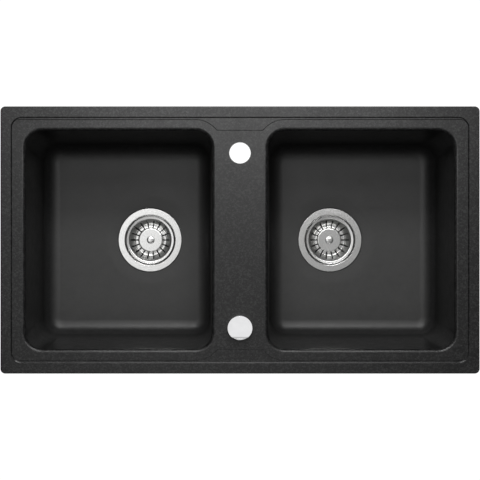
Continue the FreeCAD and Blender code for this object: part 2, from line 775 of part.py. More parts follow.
def make_bush():
    """Threaded bush through the deck, with the spindle's bore and a groove for its ring."""
    flange_under = deck_top + rosette_seal_thickness
    flange_over = flange_under + bush_flange_thickness
    bore = spindle_radius + shaft_gap
    groove_top = flange_under - spindle_ring_height
    return turned([
        (bore, bush_under),
        (bush_radius, bush_under),
        (bush_radius, flange_under),
        (bush_flange_radius, flange_under),
        (bush_flange_radius, flange_over),
        (bore, flange_over),
        (bore, groove_top),
        (spindle_ring_radius, groove_top),
        (spindle_ring_radius, groove_top - spindle_ring_height),
        (bore, groove_top - spindle_ring_height),
    ], 0.0, knob_y)


def make_lock_nut():
    """Flat hexagon nut on the bush, under the deck."""
    top = deck_under - back_washer_thickness
    corner = lock_nut_across_flats / math.sqrt(3)
    spots = []
    for number in range(7):
        turn = math.radians(60 * number)
        spots.append(Vector(corner * math.cos(turn), knob_y + corner * math.sin(turn), top - lock_nut_height))
    nut = Part.Face(Part.makePolygon(spots)).extrude(Vector(0, 0, lock_nut_height))
    return nut.cut(rod(bush_radius, top - lock_nut_height, top, 0.0, knob_y))


def make_drum_housing():
    """Cup for the cable drum, screwed on the end of the bush, with two cable outlets."""
    outer = drum_housing_radius
    wall = drum_housing_wall
    roof = bush_under
    cover_top = housing_under + wall
    middle_z = (drum_top + drum_bottom) / 2
    housing = rod(outer, cover_top, roof, 0.0, knob_y)
    housing = housing.fuse(rod(bush_radius + wall, roof, roof + housing_collar_length, 0.0, knob_y))
    for turn in (-1, 1):
        housing = housing.fuse(level_rod(cable_outlet_radius, Vector(-turn * drum_radius, knob_y, middle_z),
                                         Vector(-turn * drum_radius, knob_y + turn * cable_outlet_reach, middle_z)))
    housing = housing.cut(rod(outer - wall, cover_top, roof - wall, 0.0, knob_y))
    housing = housing.cut(rod(bush_radius, roof, roof + housing_collar_length, 0.0, knob_y))
    housing = housing.cut(rod(spindle_radius + spindle_way, roof - wall, roof, 0.0, knob_y))
    for turn in (-1, 1):
        housing = housing.cut(level_rod(gland_bore_radius, Vector(-turn * drum_radius, knob_y, middle_z),
                                        Vector(-turn * drum_radius, knob_y + turn * cable_outlet_reach, middle_z)))
    return housing


def make_drum():
    """Grooved drum that winds both cables."""
    waist = (drum_height - 2 * drum_flange) / 2
    middle_z = (drum_top + drum_bottom) / 2
    rim = drum_radius + drum_flange
    return turned([
        (spindle_radius, drum_bottom),
        (rim, drum_bottom),
        (rim, drum_bottom + drum_flange),
        (drum_radius - waist / 2, middle_z),
        (rim, drum_top - drum_flange),
        (rim, drum_top),
        (spindle_radius, drum_top),
    ], 0.0, knob_y)


def make_spindle():
    """Shaft from the knob down to the drum."""
    spindle = rod(spindle_radius, drum_bottom, spindle_top, 0.0, knob_y)
    return spindle.cut(rod(drum_screw_radius, drum_bottom, drum_bottom + drum_screw_length, 0.0, knob_y))


def make_drum_screw():
    """Screw that holds the drum on its spindle."""
    head = rod(drum_screw_head_radius, drum_bottom - drum_screw_head_height, drum_bottom, 0.0, knob_y)
    return head.fuse(rod(drum_screw_radius, drum_bottom, drum_bottom + drum_screw_length, 0.0, knob_y))


def make_control():
    """All the pieces of the turning knob."""
    groove_top = deck_top + rosette_seal_thickness - spindle_ring_height
    parts["control_knob"] = make_knob()
    parts["knob_rosette"] = make_rosette()
    parts["rosette_seal"] = ring(knob_diameter / 2 - rosette_seal_inset, bush_radius, deck_top,
                                 deck_top + rosette_seal_thickness, 0.0, knob_y)
    parts["threaded_bush"] = make_bush()
    parts["spindle_ring"] = ring(spindle_ring_radius, spindle_radius + shaft_gap,
                                 groove_top - spindle_ring_height, groove_top, 0.0, knob_y)
    parts["control_spindle"] = make_spindle()
    parts["back_washer"] = ring(back_washer_radius, bush_radius, deck_under - back_washer_thickness,
                                deck_under, 0.0, knob_y)
    parts["lock_nut"] = make_lock_nut()
    parts["drum_housing"] = make_drum_housing()
    parts["housing_cover"] = rod(drum_housing_radius, housing_under, housing_under + drum_housing_wall,
                                 0.0, knob_y)
    parts["cable_drum"] = make_drum()
    parts["drum_screw"] = make_drum_screw()


# ---------------------------------------------------------------- the fixing clips
def make_clip():
    """Bent steel clip about its pivot at the origin, with its foot pointing along X."""
    half = clip_width / 2
    sheet = clip_sheet
    leg = clip_leg_offset
    low = -clip_drop
    profile = Part.makePolygon([
        Vector(0, -half, 0),
        Vector(leg + sheet, -half, 0),
        Vector(leg + sheet, -half, low + sheet),
        Vector(leg + clip_foot - sheet, -half, low + sheet),
        Vector(leg + clip_foot - sheet, -half, low + sheet + clip_tip),
        Vector(leg + clip_foot, -half, low + sheet + clip_tip),
        Vector(leg + clip_foot, -half, low),
        Vector(leg, -half, low),
        Vector(leg, -half, -sheet),
        Vector(0, -half, -sheet),
        Vector(0, -half, 0),
    ])
    clip = Part.Face(profile).extrude(Vector(0, clip_width, 0))
    clip = clip.fuse(rod(half, -sheet, 0))
    clip = soften(clip, clip_bend_round, lambda edge: edge.BoundBox.YLength > clip_width - 0.01
                  and edge.BoundBox.XLength < 0.01 and edge.BoundBox.XMin > leg - 0.01
                  and edge.BoundBox.XMin < leg + sheet + 0.01)
    return clip.cut(rod(clip_screw_radius + moving_gap, -sheet, 0)).removeSplitter()


def make_clips():
    """Eight clips, turned in along the edge, with their screws and plugs."""
    screws = []
    plugs = []
    head_top = clip_top - clip_sheet - moving_gap
    for name, x, y, outward in clip_places():
        clip = make_clip()
        clip.rotate(Vector(0, 0, 0), up, outward - 90)
        clip.translate(Vector(x, y, clip_top))
        parts["clip_" + name] = clip
        screw = rod(clip_screw_head_radius, head_top - clip_screw_head_height, head_top, x, y)
        screws.append(screw.fuse(rod(clip_screw_radius, head_top, clip_boss_under + clip_screw_grip, x, y)))
        plug = rod(clip_plug_radius, clip_boss_under, clip_boss_under + clip_plug_depth, x, y)
        plugs.append(plug.cut(rod(clip_screw_radius, clip_boss_under, clip_boss_under + clip_screw_grip, x, y)))
    parts["clip_screws"] = gather(screws)
    parts["clip_plugs"] = gather(plugs)


def write_parts():
    """Write one file for each named piece."""
    os.makedirs("parts", exist_ok=True)
    for name, shape in parts.items():
        shape.exportStep("parts/" + name + ".step")
        print(name, len(shape.Solids), shape.isValid(), round(shape.Volume))


parts["sink_body"] = make_sink_body()
make_waste("left", -1)
make_waste("right", 1)
make_control()
make_clips()
write_parts()
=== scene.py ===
"""Looks of a double bowl kitchen sink: stone composite, turned steel wastes and a plated knob.

Everything is in metres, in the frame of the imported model: X to the right, Y to the back, Z up,
with the worktop at Z = 0. Sizes written in millimetres are turned into metres with MM.
"""
from __future__ import annotations

import json
import logging
import math
from dataclasses import dataclass
from enum import Enum
from typing import Any, Iterable, Sequence

import bmesh
import bpy
from mathutils import Matrix, Vector

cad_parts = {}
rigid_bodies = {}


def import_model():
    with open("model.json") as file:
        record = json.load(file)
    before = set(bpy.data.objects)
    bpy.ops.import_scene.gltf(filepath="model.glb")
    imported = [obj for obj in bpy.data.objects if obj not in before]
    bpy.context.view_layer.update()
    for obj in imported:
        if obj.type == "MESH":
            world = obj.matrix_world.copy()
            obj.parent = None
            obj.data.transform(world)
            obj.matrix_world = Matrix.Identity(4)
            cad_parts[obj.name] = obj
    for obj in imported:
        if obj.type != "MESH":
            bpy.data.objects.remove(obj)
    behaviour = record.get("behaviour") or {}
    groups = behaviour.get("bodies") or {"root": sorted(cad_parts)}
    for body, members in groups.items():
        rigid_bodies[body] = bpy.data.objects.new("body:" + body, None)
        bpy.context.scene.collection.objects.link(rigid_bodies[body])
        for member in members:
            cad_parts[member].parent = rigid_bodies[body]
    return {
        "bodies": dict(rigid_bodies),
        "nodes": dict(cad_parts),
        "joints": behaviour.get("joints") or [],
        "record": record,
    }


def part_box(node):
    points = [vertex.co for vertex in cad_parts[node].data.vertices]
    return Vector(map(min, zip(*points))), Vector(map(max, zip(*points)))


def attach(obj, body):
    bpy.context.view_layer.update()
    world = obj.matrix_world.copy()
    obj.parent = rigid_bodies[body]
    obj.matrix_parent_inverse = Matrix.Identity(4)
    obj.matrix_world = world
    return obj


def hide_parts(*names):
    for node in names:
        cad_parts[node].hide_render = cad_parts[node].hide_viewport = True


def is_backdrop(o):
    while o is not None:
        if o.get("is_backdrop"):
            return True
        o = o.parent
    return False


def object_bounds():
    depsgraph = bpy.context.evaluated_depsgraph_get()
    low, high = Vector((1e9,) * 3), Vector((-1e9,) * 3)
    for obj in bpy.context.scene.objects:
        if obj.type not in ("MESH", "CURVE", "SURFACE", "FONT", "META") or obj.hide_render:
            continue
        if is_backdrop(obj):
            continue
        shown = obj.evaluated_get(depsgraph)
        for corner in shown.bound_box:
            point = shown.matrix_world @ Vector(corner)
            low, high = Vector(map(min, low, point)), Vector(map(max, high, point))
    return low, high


MM = 0.001
UP = Vector((0.0, 0.0, 1.0))
OUTLET_LENGTH = 24.0 * MM
OUTLET_PITCH = 2.309 * MM
OUTLET_PLAIN_FOOT = 1.2 * MM
OUTLET_PLAIN_TOP = 0.8 * MM
BUSH_LENGTH = 22.0 * MM
BUSH_PITCH = 2.0 * MM
LOG = logging.getLogger("sink")

Profile = Sequence[tuple[float, float]]


class Side(Enum):
    """The two bowls, with the sign of their place along X."""

    LEFT = -1
    RIGHT = 1

    @property
    def word(self) -> str:
        """The word that starts the names of this side's pieces."""
        return self.name.lower()


# ------------------------------------------------------------------------------ shader helpers
class Shader:
    """Adds nodes to a material or a node group and joins them."""

    def __init__(self, tree: bpy.types.NodeTree) -> None:
        """Keeps the tree that nodes are added to.

        Args:
            tree: The node tree of a material, a world or a group.
        """
        self.tree = tree

    def add(self, kind: str, values: dict[Any, Any] | None = None, **settings: Any) -> bpy.types.Node:
        """Adds one node, with its settings, and sets or joins its inputs.

        Args:
            kind: Blender's name of the node type, without the leading ShaderNode.
            values: Inputs by name or number; an output socket is joined, other values are set.
            **settings: Attributes of the node.

        Returns:
            The new node.
        """
        node = self.tree.nodes.new("ShaderNode" + kind)
        for name, setting in settings.items():
            setattr(node, name, setting)
        for key, value in (values or {}).items():
            self.feed(node.inputs[key], value)
        return node

    def feed(self, socket: bpy.types.NodeSocket, value: Any) -> None:
        """Joins an output socket to an input, or sets the input's own value."""
        if isinstance(value, bpy.types.NodeSocket):
            self.tree.links.new(value, socket)
        else:
            socket.default_value = value

    def math(self, operation: str, *values: Any) -> bpy.types.NodeSocket:
        """Adds a Math node and returns its output."""
        return self.add("Math", dict(enumerate(values)), operation=operation).outputs[0]

    def spread(self, value: Any, low: float, high: float, to_low: float,
               to_high: float) -> bpy.types.NodeSocket:
        """Maps a value from one range to another, clamped, and returns the output."""
        node = self.add("MapRange", {"Value": value, "From Min": low, "From Max": high,
                                     "To Min": to_low, "To Max": to_high})
        return node.outputs["Result"]

    def blend(self, factor: Any, first: Any, second: Any) -> bpy.types.NodeSocket:
        """Mixes two colours and returns the output."""
        node = self.add("Mix", data_type="RGBA")
        for identifier, value in (("Factor_Float", factor), ("A_Color", first), ("B_Color", second)):
            self.feed(self.socket(node.inputs, identifier), value)
        return self.socket(node.outputs, "Result_Color")

    @staticmethod
    def socket(sockets: Iterable[bpy.types.NodeSocket], identifier: str) -> bpy.types.NodeSocket:
        """The socket with an identifier, where several share one name."""
        return next(socket for socket in sockets if socket.identifier == identifier)


class Group:
    """A shader node group that several finishes place with their own values."""

    def __init__(self, name: str, inputs: dict[str, float], outputs: dict[str, str]) -> None:
        """Makes the group and its sockets.

        Args:
            name: Name of the group.
            inputs: Float inputs with their default values.
            outputs: Output names with their socket types.
        """
        self.tree = bpy.data.node_groups.new(name, "ShaderNodeTree")
        for label, value in inputs.items():
            socket = self.tree.interface.new_socket(label, in_out="INPUT", socket_type="NodeSocketFloat")
            socket.default_value = value
        for label, kind in outputs.items():
            self.tree.interface.new_socket(label, in_out="OUTPUT", socket_type=kind)
        self.source = self.tree.nodes.new("NodeGroupInput")
        self.sink = self.tree.nodes.new("NodeGroupOutput")
        self.shader = Shader(self.tree)

    def give(self, label: str, socket: bpy.types.NodeSocket) -> None:
        """Joins a socket inside the group to one of its outputs."""
        self.tree.links.new(socket, self.sink.inputs[label])

    def place(self, shader: Shader, values: dict[str, Any]) -> bpy.types.Node:
        """Places the group in a material.

        Args:
            shader: The material's shader helper.
            values: Values of the group's inputs.

        Returns:
            The group node.
        """
        node = shader.add("Group", node_tree=self.tree)
        for label, value in values.items():
            shader.feed(node.inputs[label], value)
        return node


def turning_group() -> Group:
    """Fine rings about an upright axis, as a lathe or a spinning press leaves them.

    Returns:
        A group that puts out a height for a Bump node and a streak mask.
    """
    group = Group("turning marks", {"Centre X": 0.0, "Centre Y": 0.0, "Rings": 4000.0},
                  {"Height": "NodeSocketFloat", "Streak": "NodeSocketFloat"})
    shader = group.shader
    place = shader.add("SeparateXYZ", {0: shader.add("TexCoord").outputs["Object"]})
    across = shader.math("SUBTRACT", place.outputs["X"], group.source.outputs["Centre X"])
    along = shader.math("SUBTRACT", place.outputs["Y"], group.source.outputs["Centre Y"])
    flat = shader.math("SQRT", shader.math("ADD", shader.math("MULTIPLY", across, across),
                                           shader.math("MULTIPLY", along, along)))
    slope = shader.math("MULTIPLY", place.outputs["Z"], 0.7)
    travel = shader.math("MULTIPLY", shader.math("ADD", flat, slope), group.source.outputs["Rings"])
    rings = shader.add("TexNoise", {"W": travel, "Scale": 1.0, "Detail": 2.0}, noise_dimensions="1D")
    angle = shader.math("ARCTAN2", along, across)
    broken = shader.add("CombineXYZ", {"X": shader.math("MULTIPLY", travel, 0.35),
                                       "Y": shader.math("MULTIPLY", angle, 6.0)})
    streak = shader.add("TexNoise", {"Vector": broken.outputs[0], "Scale": 1.0, "Detail": 3.0},
                        noise_dimensions="2D")
    group.give("Height", rings.outputs[0])
    group.give("Streak", streak.outputs[0])
    return group


def smudge_group() -> Group:
    """Soft patches of water marks and handling.

    Returns:
        A group that puts out a mask between 0 and 1.
    """
    group = Group("smudges", {"Size": 25.0}, {"Mask": "NodeSocketFloat"})
    shader = group.shader
    spot = shader.add("TexCoord").outputs["Object"]
    cloud = shader.add("TexNoise", {"Vector": spot, "Scale": group.source.outputs["Size"], "Detail": 6.0,
                                    "Roughness": 0.6, "Distortion": 0.4})
    group.give("Mask", shader.spread(cloud.outputs[0], 0.35, 0.7, 0.0, 1.0))
    return group


def grain_group() -> Group:
    """Fine even grain of a moulded or cast surface.

    Returns:
        A group that puts out a height for a Bump node.
    """
    group = Group("fine grain", {"Grains": 1500.0}, {"Height": "NodeSocketFloat"})
    shader = group.shader
    spot = shader.add("TexCoord").outputs["Object"]
    noise = shader.add("TexNoise", {"Vector": spot, "Scale": group.source.outputs["Grains"], "Detail": 3.0,
                                    "Roughness": 0.55})
    group.give("Height", noise.outputs[0])
    return group


def thread_group() -> Group:
    """Ridges of a screw thread about an upright axis, between two heights.

    Returns:
        A group that puts out a height for a Bump node.
    """
    group = Group("screw thread", {"Pitch": 2.3 * MM, "Foot": 0.0, "Top": 1.0}, {"Height": "NodeSocketFloat"})
    shader = group.shader
    source = group.source.outputs
    height = shader.add("SeparateXYZ", {0: shader.add("TexCoord").outputs["Object"]}).outputs["Z"]
    turns = shader.math("DIVIDE", height, source["Pitch"])
    ridge = shader.math("MULTIPLY", shader.math("PINGPONG", turns, 0.5), 2.0)
    flattened = shader.spread(ridge, 0.12, 0.88, 0.0, 1.0)
    inside = shader.math("MULTIPLY", shader.math("GREATER_THAN", height, source["Foot"]),
                         shader.math("LESS_THAN", height, source["Top"]))
    group.give("Height", shader.math("MULTIPLY", flattened, inside))
    return group


@dataclass
class Effects:
    """The node groups that the finishes share."""

    turning: Group
    smudges: Group
    grain: Group
    thread: Group

    @classmethod
    def build(cls) -> Effects:
        """Makes each shared group once."""
        return cls(turning_group(), smudge_group(), grain_group(), thread_group())


def new_material(name: str) -> tuple[bpy.types.Material, Shader, bpy.types.Node]:
    """Makes an empty material with a Principled BSDF.

    Args:
        name: Name of the material.

    Returns:
        The material, its shader helper and its Principled BSDF.
    """
    material = bpy.data.materials.new(name)
    material.use_nodes = True
    material.node_tree.nodes.clear()
    shader = Shader(material.node_tree)
    surface = shader.add("BsdfPrincipled")
    shader.add("OutputMaterial", {"Surface": surface.outputs[0]})
    return material, shader, surface


def bump(shader: Shader, surface: bpy.types.Node, height: bpy.types.NodeSocket, strength: float,
         depth: float) -> None:
    """Adds a Bump node between a height and a surface's normal, on top of any bump it has.

    Args:
        shader: The material's shader helper.
        surface: The Principled BSDF.
        height: Height output, between 0 and 1.
        strength: Strength of the bump.
        depth: Height in metres that 1 stands for.
    """
    node = shader.add("Bump", {"Height": height, "Strength": strength, "Distance": depth})
    for link in surface.inputs["Normal"].links:
        shader.feed(node.inputs["Normal"], link.from_socket)
    shader.feed(surface.inputs["Normal"], node.outputs[0])


# ------------------------------------------------------------------------------ finishes
@dataclass(frozen=True)
class StoneComposite:
    """Matt black composite of quartz sand and resin, mottled with paler grains; painted light pales it
    towards the bowls' floors, which are paler and rougher in patches.
    """

    ground: tuple[float, float, float, float] = (0.0052, 0.0052, 0.0054, 1.0)
    grains: tuple[float, float, float, float] = (0.034, 0.034, 0.034, 1.0)
    fleck: tuple[float, float, float, float] = (0.115, 0.115, 0.112, 1.0)
    floor_pale_tone: tuple[float, float, float, float] = (0.055, 0.055, 0.054, 1.0)
    fine_cells: float = 900.0
    coarse_cells: float = 430.0
    floor_depth: float = -0.157
    deck_height: float = 0.0
    floor_band_rise: float = 8.0 * MM
    fine_power: float = 1.6
    coarse_power: float = 3.0
    fine_share: float = 0.45
    coarse_share: float = 1.25
    clear_at_floor: float = 0.30
    # Painted light: how much paler tone is laid on towards the bowls' floors.
    painted_depth_light: float = 0.85
    least_floor_paling: float = 0.58
    polish: float = 0.34
    floor_band_roughness: float = 0.14
    relief: float = 0.14 * MM

    def build(self, effects: Effects) -> bpy.types.Material:
        """Makes the material.

        Args:
            effects: The shared node groups.

        Returns:
            The material.
        """
        material, shader, surface = new_material("stone_composite")
        coordinates = shader.add("TexCoord").outputs
        spot = coordinates["Object"]
        height = shader.add("SeparateXYZ", {0: spot}).outputs["Z"]
        facing_up = shader.add("SeparateXYZ", {0: coordinates["Normal"]}).outputs["Z"]
        # Painted light: the colour pales with depth into the bowls, standing in for light on the walls' feet
        # and floors; clear is the share of the stone's own mottle that stays.
        clear = shader.spread(height, self.floor_depth, self.deck_height, self.clear_at_floor, 1.0)
        fine = shader.math("POWER", self.cell_chance(shader, spot, self.fine_cells), self.fine_power)
        coarse = shader.math("POWER", self.cell_chance(shader, spot, self.coarse_cells), self.coarse_power)
        both = shader.math("ADD", shader.math("MULTIPLY", fine, self.fine_share),
                           shader.math("MULTIPLY", coarse, self.coarse_share))
        mottle = shader.math("MULTIPLY", clear, both)
        painted_depth_light = shader.math("MULTIPLY", shader.math("SUBTRACT", 1.0, clear), self.painted_depth_light)
        even = shader.math("ADD", mottle, painted_depth_light)
        colour = shader.blend(even, self.ground, self.grains)
        rare = shader.math("MULTIPLY", self.flecks(shader, spot), clear)
        colour = shader.blend(rare, colour, self.fleck)
        drift = shader.add("TexNoise", {"Vector": spot, "Scale": 60.0, "Detail": 6.0, "Roughness": 0.65})
        # Paler and rougher in drifting patches on the upward faces of the bowls' floors and a few millimetres
        # above them.
        floor_band_top = self.floor_depth + self.floor_band_rise
        floor_band = shader.math("MULTIPLY", shader.spread(facing_up, -0.05, 0.05, 0.0, 1.0),
                           shader.spread(height, self.floor_depth, floor_band_top, 1.0, 0.0))
        floor_paling = shader.math("MULTIPLY", floor_band, shader.spread(drift.outputs[0], 0.3, 0.7, self.least_floor_paling, 1.0))
        shader.feed(surface.inputs["Base Color"], shader.blend(floor_paling, colour, self.floor_pale_tone))
        gloss = shader.spread(drift.outputs[0], 0.3, 0.7, self.polish - 0.04, self.polish + 0.04)
        shader.feed(surface.inputs["Roughness"],
                    shader.math("ADD", gloss, shader.math("MULTIPLY", floor_band, self.floor_band_roughness)))
        grain = effects.grain.place(shader, {"Grains": 1300.0})
        bump(shader, surface, grain.outputs["Height"], 0.38, self.relief)
        return material

    @staticmethod
    def cell_chance(shader: Shader, spot: bpy.types.NodeSocket, cells: float) -> bpy.types.NodeSocket:
        """A random tone between 0 and 1 for each grain, with soft outlines.

        Args:
            shader: The material's shader helper.
            spot: Place on the surface.
            cells: Grains per metre.

        Returns:
            The tone's output.
        """
        cell = shader.add("TexVoronoi", {"Vector": spot, "Scale": cells, "Smoothness": 0.35,
                                         "Randomness": 1.0}, feature="SMOOTH_F1")
        return shader.add("SeparateColor", {0: cell.outputs["Color"]}).outputs[0]

    def flecks(self, shader: Shader, spot: bpy.types.NodeSocket) -> bpy.types.NodeSocket:
        """A few pale flecks with soft outlines.

        Args:
            shader: The material's shader helper.
            spot: Place on the surface.

        Returns:
            A mask output.
        """
        cell = shader.add("TexVoronoi", {"Vector": spot, "Scale": 0.9 * self.fine_cells, "Randomness": 1.0})
        chance = shader.add("SeparateColor", {0: cell.outputs["Color"]}).outputs[1]
        chosen = shader.spread(chance, 0.94, 1.0, 0.0, 1.0)
        body = shader.spread(cell.outputs["Distance"], 0.15, 0.5, 1.0, 0.0)
        return shader.math("MULTIPLY", chosen, body)


@dataclass(frozen=True)
class TurnedSteel:
    """Stainless steel with the fine rings of its turning, about an upright axis."""

    name: str
    centre_x: float = 0.0
    centre_y: float = 0.0
    tone: tuple[float, float, float, float] = (0.74, 0.74, 0.73, 1.0)
    roughness: float = 0.16
    depth: float = 0.010 * MM
    rings: float = 4200.0

    def build(self, effects: Effects) -> bpy.types.Material:
        """Makes the material.

        Args:
            effects: The shared node groups.

        Returns:
            The material.
        """
        material, shader, surface = new_material(self.name)
        marks = effects.turning.place(shader, {"Centre X": self.centre_x, "Centre Y": self.centre_y,
                                               "Rings": self.rings})
        smudge = effects.smudges.place(shader, {"Size": 38.0})
        darker = tuple(0.90 * channel for channel in self.tone[:3]) + (1.0,)
        streaked = shader.spread(marks.outputs["Streak"], 0.35, 0.7, 0.0, 0.6)
        shader.feed(surface.inputs["Base Color"], shader.blend(streaked, self.tone, darker))
        surface.inputs["Metallic"].default_value = 1.0
        rough = shader.math("ADD", shader.spread(marks.outputs["Streak"], 0.3, 0.7, self.roughness * 0.8,
                                                 self.roughness * 1.3),
                            shader.math("MULTIPLY", smudge.outputs["Mask"], 0.025))
        shader.feed(surface.inputs["Roughness"], rough)
        bump(shader, surface, marks.outputs["Height"], 0.5, self.depth)
        return material


@dataclass(frozen=True)
class PaintedShadeSteel:
    """Steel painted dark as shade, for the inside of the drain cup and the basket's under side."""

    name: str = "drawn_steel"
    # Painted shade: a tone far darker than bare steel.
    tone: tuple[float, float, float, float] = (0.11, 0.11, 0.11, 1.0)

    def build(self, effects: Effects) -> bpy.types.Material:
        """Makes the material.

        Args:
            effects: The shared node groups.

        Returns:
            The material.
        """
        material, shader, surface = new_material(self.name)
        smudge = effects.smudges.place(shader, {"Size": 90.0})
        deeper = tuple(0.6 * channel for channel in self.tone[:3]) + (1.0,)
        shader.feed(surface.inputs["Base Color"], shader.blend(smudge.outputs["Mask"], self.tone, deeper))
        surface.inputs["Metallic"].default_value = 1.0
        shader.feed(surface.inputs["Roughness"], shader.spread(smudge.outputs["Mask"], 0.0, 1.0, 0.42, 0.55))
        grain = effects.grain.place(shader, {"Grains": 900.0})
        bump(shader, surface, grain.outputs["Height"], 0.3, 0.05 * MM)
        return material


@dataclass(frozen=True)
class BrightPlate:
    """Mirror-bright plating with faint handling marks."""

    name: str = "bright_plate"
    tone: tuple[float, float, float, float] = (0.83, 0.83, 0.84, 1.0)

    def build(self, effects: Effects) -> bpy.types.Material:
        """Makes the material.

        Args:
            effects: The shared node groups.

        Returns:
            The material.
        """
        material, shader, surface = new_material(self.name)
        smudge = effects.smudges.place(shader, {"Size": 60.0})
        duller = tuple(0.94 * channel for channel in self.tone[:3]) + (1.0,)
        shader.feed(surface.inputs["Base Color"], shader.blend(smudge.outputs["Mask"], self.tone, duller))
        surface.inputs["Metallic"].default_value = 1.0
        shader.feed(surface.inputs["Roughness"], shader.spread(smudge.outputs["Mask"], 0.0, 1.0, 0.0, 0.003))
        grain = effects.grain.place(shader, {"Grains": 260.0})
        bump(shader, surface, grain.outputs["Height"], 0.03, 0.005 * MM)
        return material


@dataclass(frozen=True)
class Thread:
    """Where a screw thread runs on an upright part."""

    foot: float
    top: float
    pitch: float
    depth: float

    def cut(self, shader: Shader, surface: bpy.types.Node, effects: Effects) -> None:
        """Adds the thread's ridges to a material.

        Args:
            shader: The material's shader helper.
            surface: The Principled BSDF.
            effects: The shared node groups.
        """
        ridges = effects.thread.place(shader, {"Pitch": self.pitch, "Foot": self.foot, "Top": self.top})
        bump(shader, surface, ridges.outputs["Height"], 1.0, self.depth)


@dataclass(frozen=True)
class Moulded:
    """Moulded plastic or rubber with a fine grain and a slight drift in tone."""

    name: str
    tone: tuple[float, float, float, float]
    roughness: float = 0.45
    grain: float = 1800.0
    depth: float = 0.06 * MM
    thread: Thread | None = None

    def build(self, effects: Effects) -> bpy.types.Material:
        """Makes the material.

        Args:
            effects: The shared node groups.

        Returns:
            The material.
        """
        material, shader, surface = new_material(self.name)
        smudge = effects.smudges.place(shader, {"Size": 45.0})
        paler = tuple(1.35 * channel + 0.004 for channel in self.tone[:3]) + (1.0,)
        shader.feed(surface.inputs["Base Color"], shader.blend(smudge.outputs["Mask"], self.tone, paler))
        gloss = shader.spread(smudge.outputs["Mask"], 0.0, 1.0, self.roughness, self.roughness + 0.12)
        shader.feed(surface.inputs["Roughness"], gloss)
        grain = effects.grain.place(shader, {"Grains": self.grain})
        bump(shader, surface, grain.outputs["Height"], 0.4, self.depth)
        if self.thread:
            self.thread.cut(shader, surface, effects)
        return material


@dataclass(frozen=True)
class PlatedMetal:
    """Plated or bare fastener metal with a mottled, slightly crystalline tone."""

    name: str
    tone: tuple[float, float, float, float]
    second_tone: tuple[float, float, float, float]
    roughness: float = 0.32

    def build(self, effects: Effects) -> bpy.types.Material:
        """Makes the material.

        Args:
            effects: The shared node groups.

        Returns:
            The material.
        """
        material, shader, surface = new_material(self.name)
        spot = shader.add("TexCoord").outputs["Object"]
        mottle = shader.add("TexNoise", {"Vector": spot, "Scale": 220.0, "Detail": 5.0, "Roughness": 0.65})
        factor = shader.spread(mottle.outputs[0], 0.35, 0.65, 0.0, 1.0)
        shader.feed(surface.inputs["Base Color"], shader.blend(factor, self.tone, self.second_tone))
        surface.inputs["Metallic"].default_value = 1.0
        shader.feed(surface.inputs["Roughness"], shader.spread(factor, 0.0, 1.0, self.roughness * 0.8,
                                                               self.roughness * 1.25))
        grain = effects.grain.place(shader, {"Grains": 900.0})
        bump(shader, surface, grain.outputs["Height"], 0.3, 0.03 * MM)
        return material


@dataclass
class Finishes:
    """Every material of the sink."""

    stone: bpy.types.Material
    steel: dict[Side, bpy.types.Material]
    satin_steel: dict[Side, bpy.types.Material]
    # Steel painted dark as shade, for the cup and the basket's under side.
    dull_steel: bpy.types.Material
    plate: bpy.types.Material
    rubber: bpy.types.Material
    black_plastic: bpy.types.Material
    waste_plastic: bpy.types.Material
    bush_plastic: bpy.types.Material
    grey_plastic: bpy.types.Material
    zinc: bpy.types.Material
    brass: bpy.types.Material

    @classmethod
    def build(cls, effects: Effects, drain_x: float) -> Finishes:
        """Makes every material.

        Args:
            effects: The shared node groups.
            drain_x: Distance from the sink's middle to each drain, which the turning marks go round.

        Returns:
            The finishes.
        """
        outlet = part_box("left_waste_body")[0].z
        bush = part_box("threaded_bush")[0].z
        outlet_thread = Thread(outlet + OUTLET_PLAIN_FOOT, outlet + OUTLET_LENGTH - OUTLET_PLAIN_TOP,
                               OUTLET_PITCH, 1.1 * MM)
        bush_thread = Thread(bush, bush + BUSH_LENGTH, BUSH_PITCH, 0.9 * MM)
        steel = {side: TurnedSteel(side.word + "_turned_steel", side.value * drain_x).build(effects)
                 for side in Side}
        satin = {side: TurnedSteel(side.word + "_satin_steel", side.value * drain_x,
                                   tone=(0.50, 0.50, 0.495, 1.0), roughness=0.36).build(effects)
                 for side in Side}
        return cls(
            stone=StoneComposite().build(effects),
            steel=steel,
            satin_steel=satin,
            # Painted shade: dark steel for the cup and the basket's under side.
            dull_steel=PaintedShadeSteel().build(effects),
            plate=BrightPlate().build(effects),
            rubber=Moulded("rubber", (0.016, 0.016, 0.016, 1.0), 0.62, 1100.0).build(effects),
            black_plastic=Moulded("black_plastic", (0.020, 0.020, 0.021, 1.0), 0.42).build(effects),
            waste_plastic=Moulded("waste_plastic", (0.020, 0.020, 0.021, 1.0), 0.40,
                                  thread=outlet_thread).build(effects),
            bush_plastic=Moulded("bush_plastic", (0.022, 0.022, 0.023, 1.0), 0.40,
                                 thread=bush_thread).build(effects),
            grey_plastic=Moulded("grey_plastic", (0.24, 0.25, 0.26, 1.0), 0.45).build(effects),
            zinc=PlatedMetal("zinc", (0.60, 0.61, 0.62, 1.0), (0.47, 0.48, 0.50, 1.0)).build(effects),
            brass=PlatedMetal("brass", (0.66, 0.47, 0.20, 1.0), (0.55, 0.38, 0.16, 1.0), 0.26).build(effects),
        )

    def of_node(self, node: str, slot: str) -> bpy.types.Material:
        """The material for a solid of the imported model.

        Args:
            node: Name of the solid.
            slot: The record's material slot.

        Returns:
            The material.
        """
        if slot == "steel":
            return self.steel[next(side for side in Side if node.startswith(side.word))]
        threaded = {"left_waste_body": self.waste_plastic, "right_waste_body": self.waste_plastic,
                    "threaded_bush": self.bush_plastic}
        if node in threaded:
            return threaded[node]
        named = {"composite": self.stone, "chrome": self.plate, "rubber": self.rubber,
                 "black_plastic": self.black_plastic, "grey_plastic": self.grey_plastic,
                 "zinc_steel": self.zinc, "brass": self.brass}
        return named[slot]


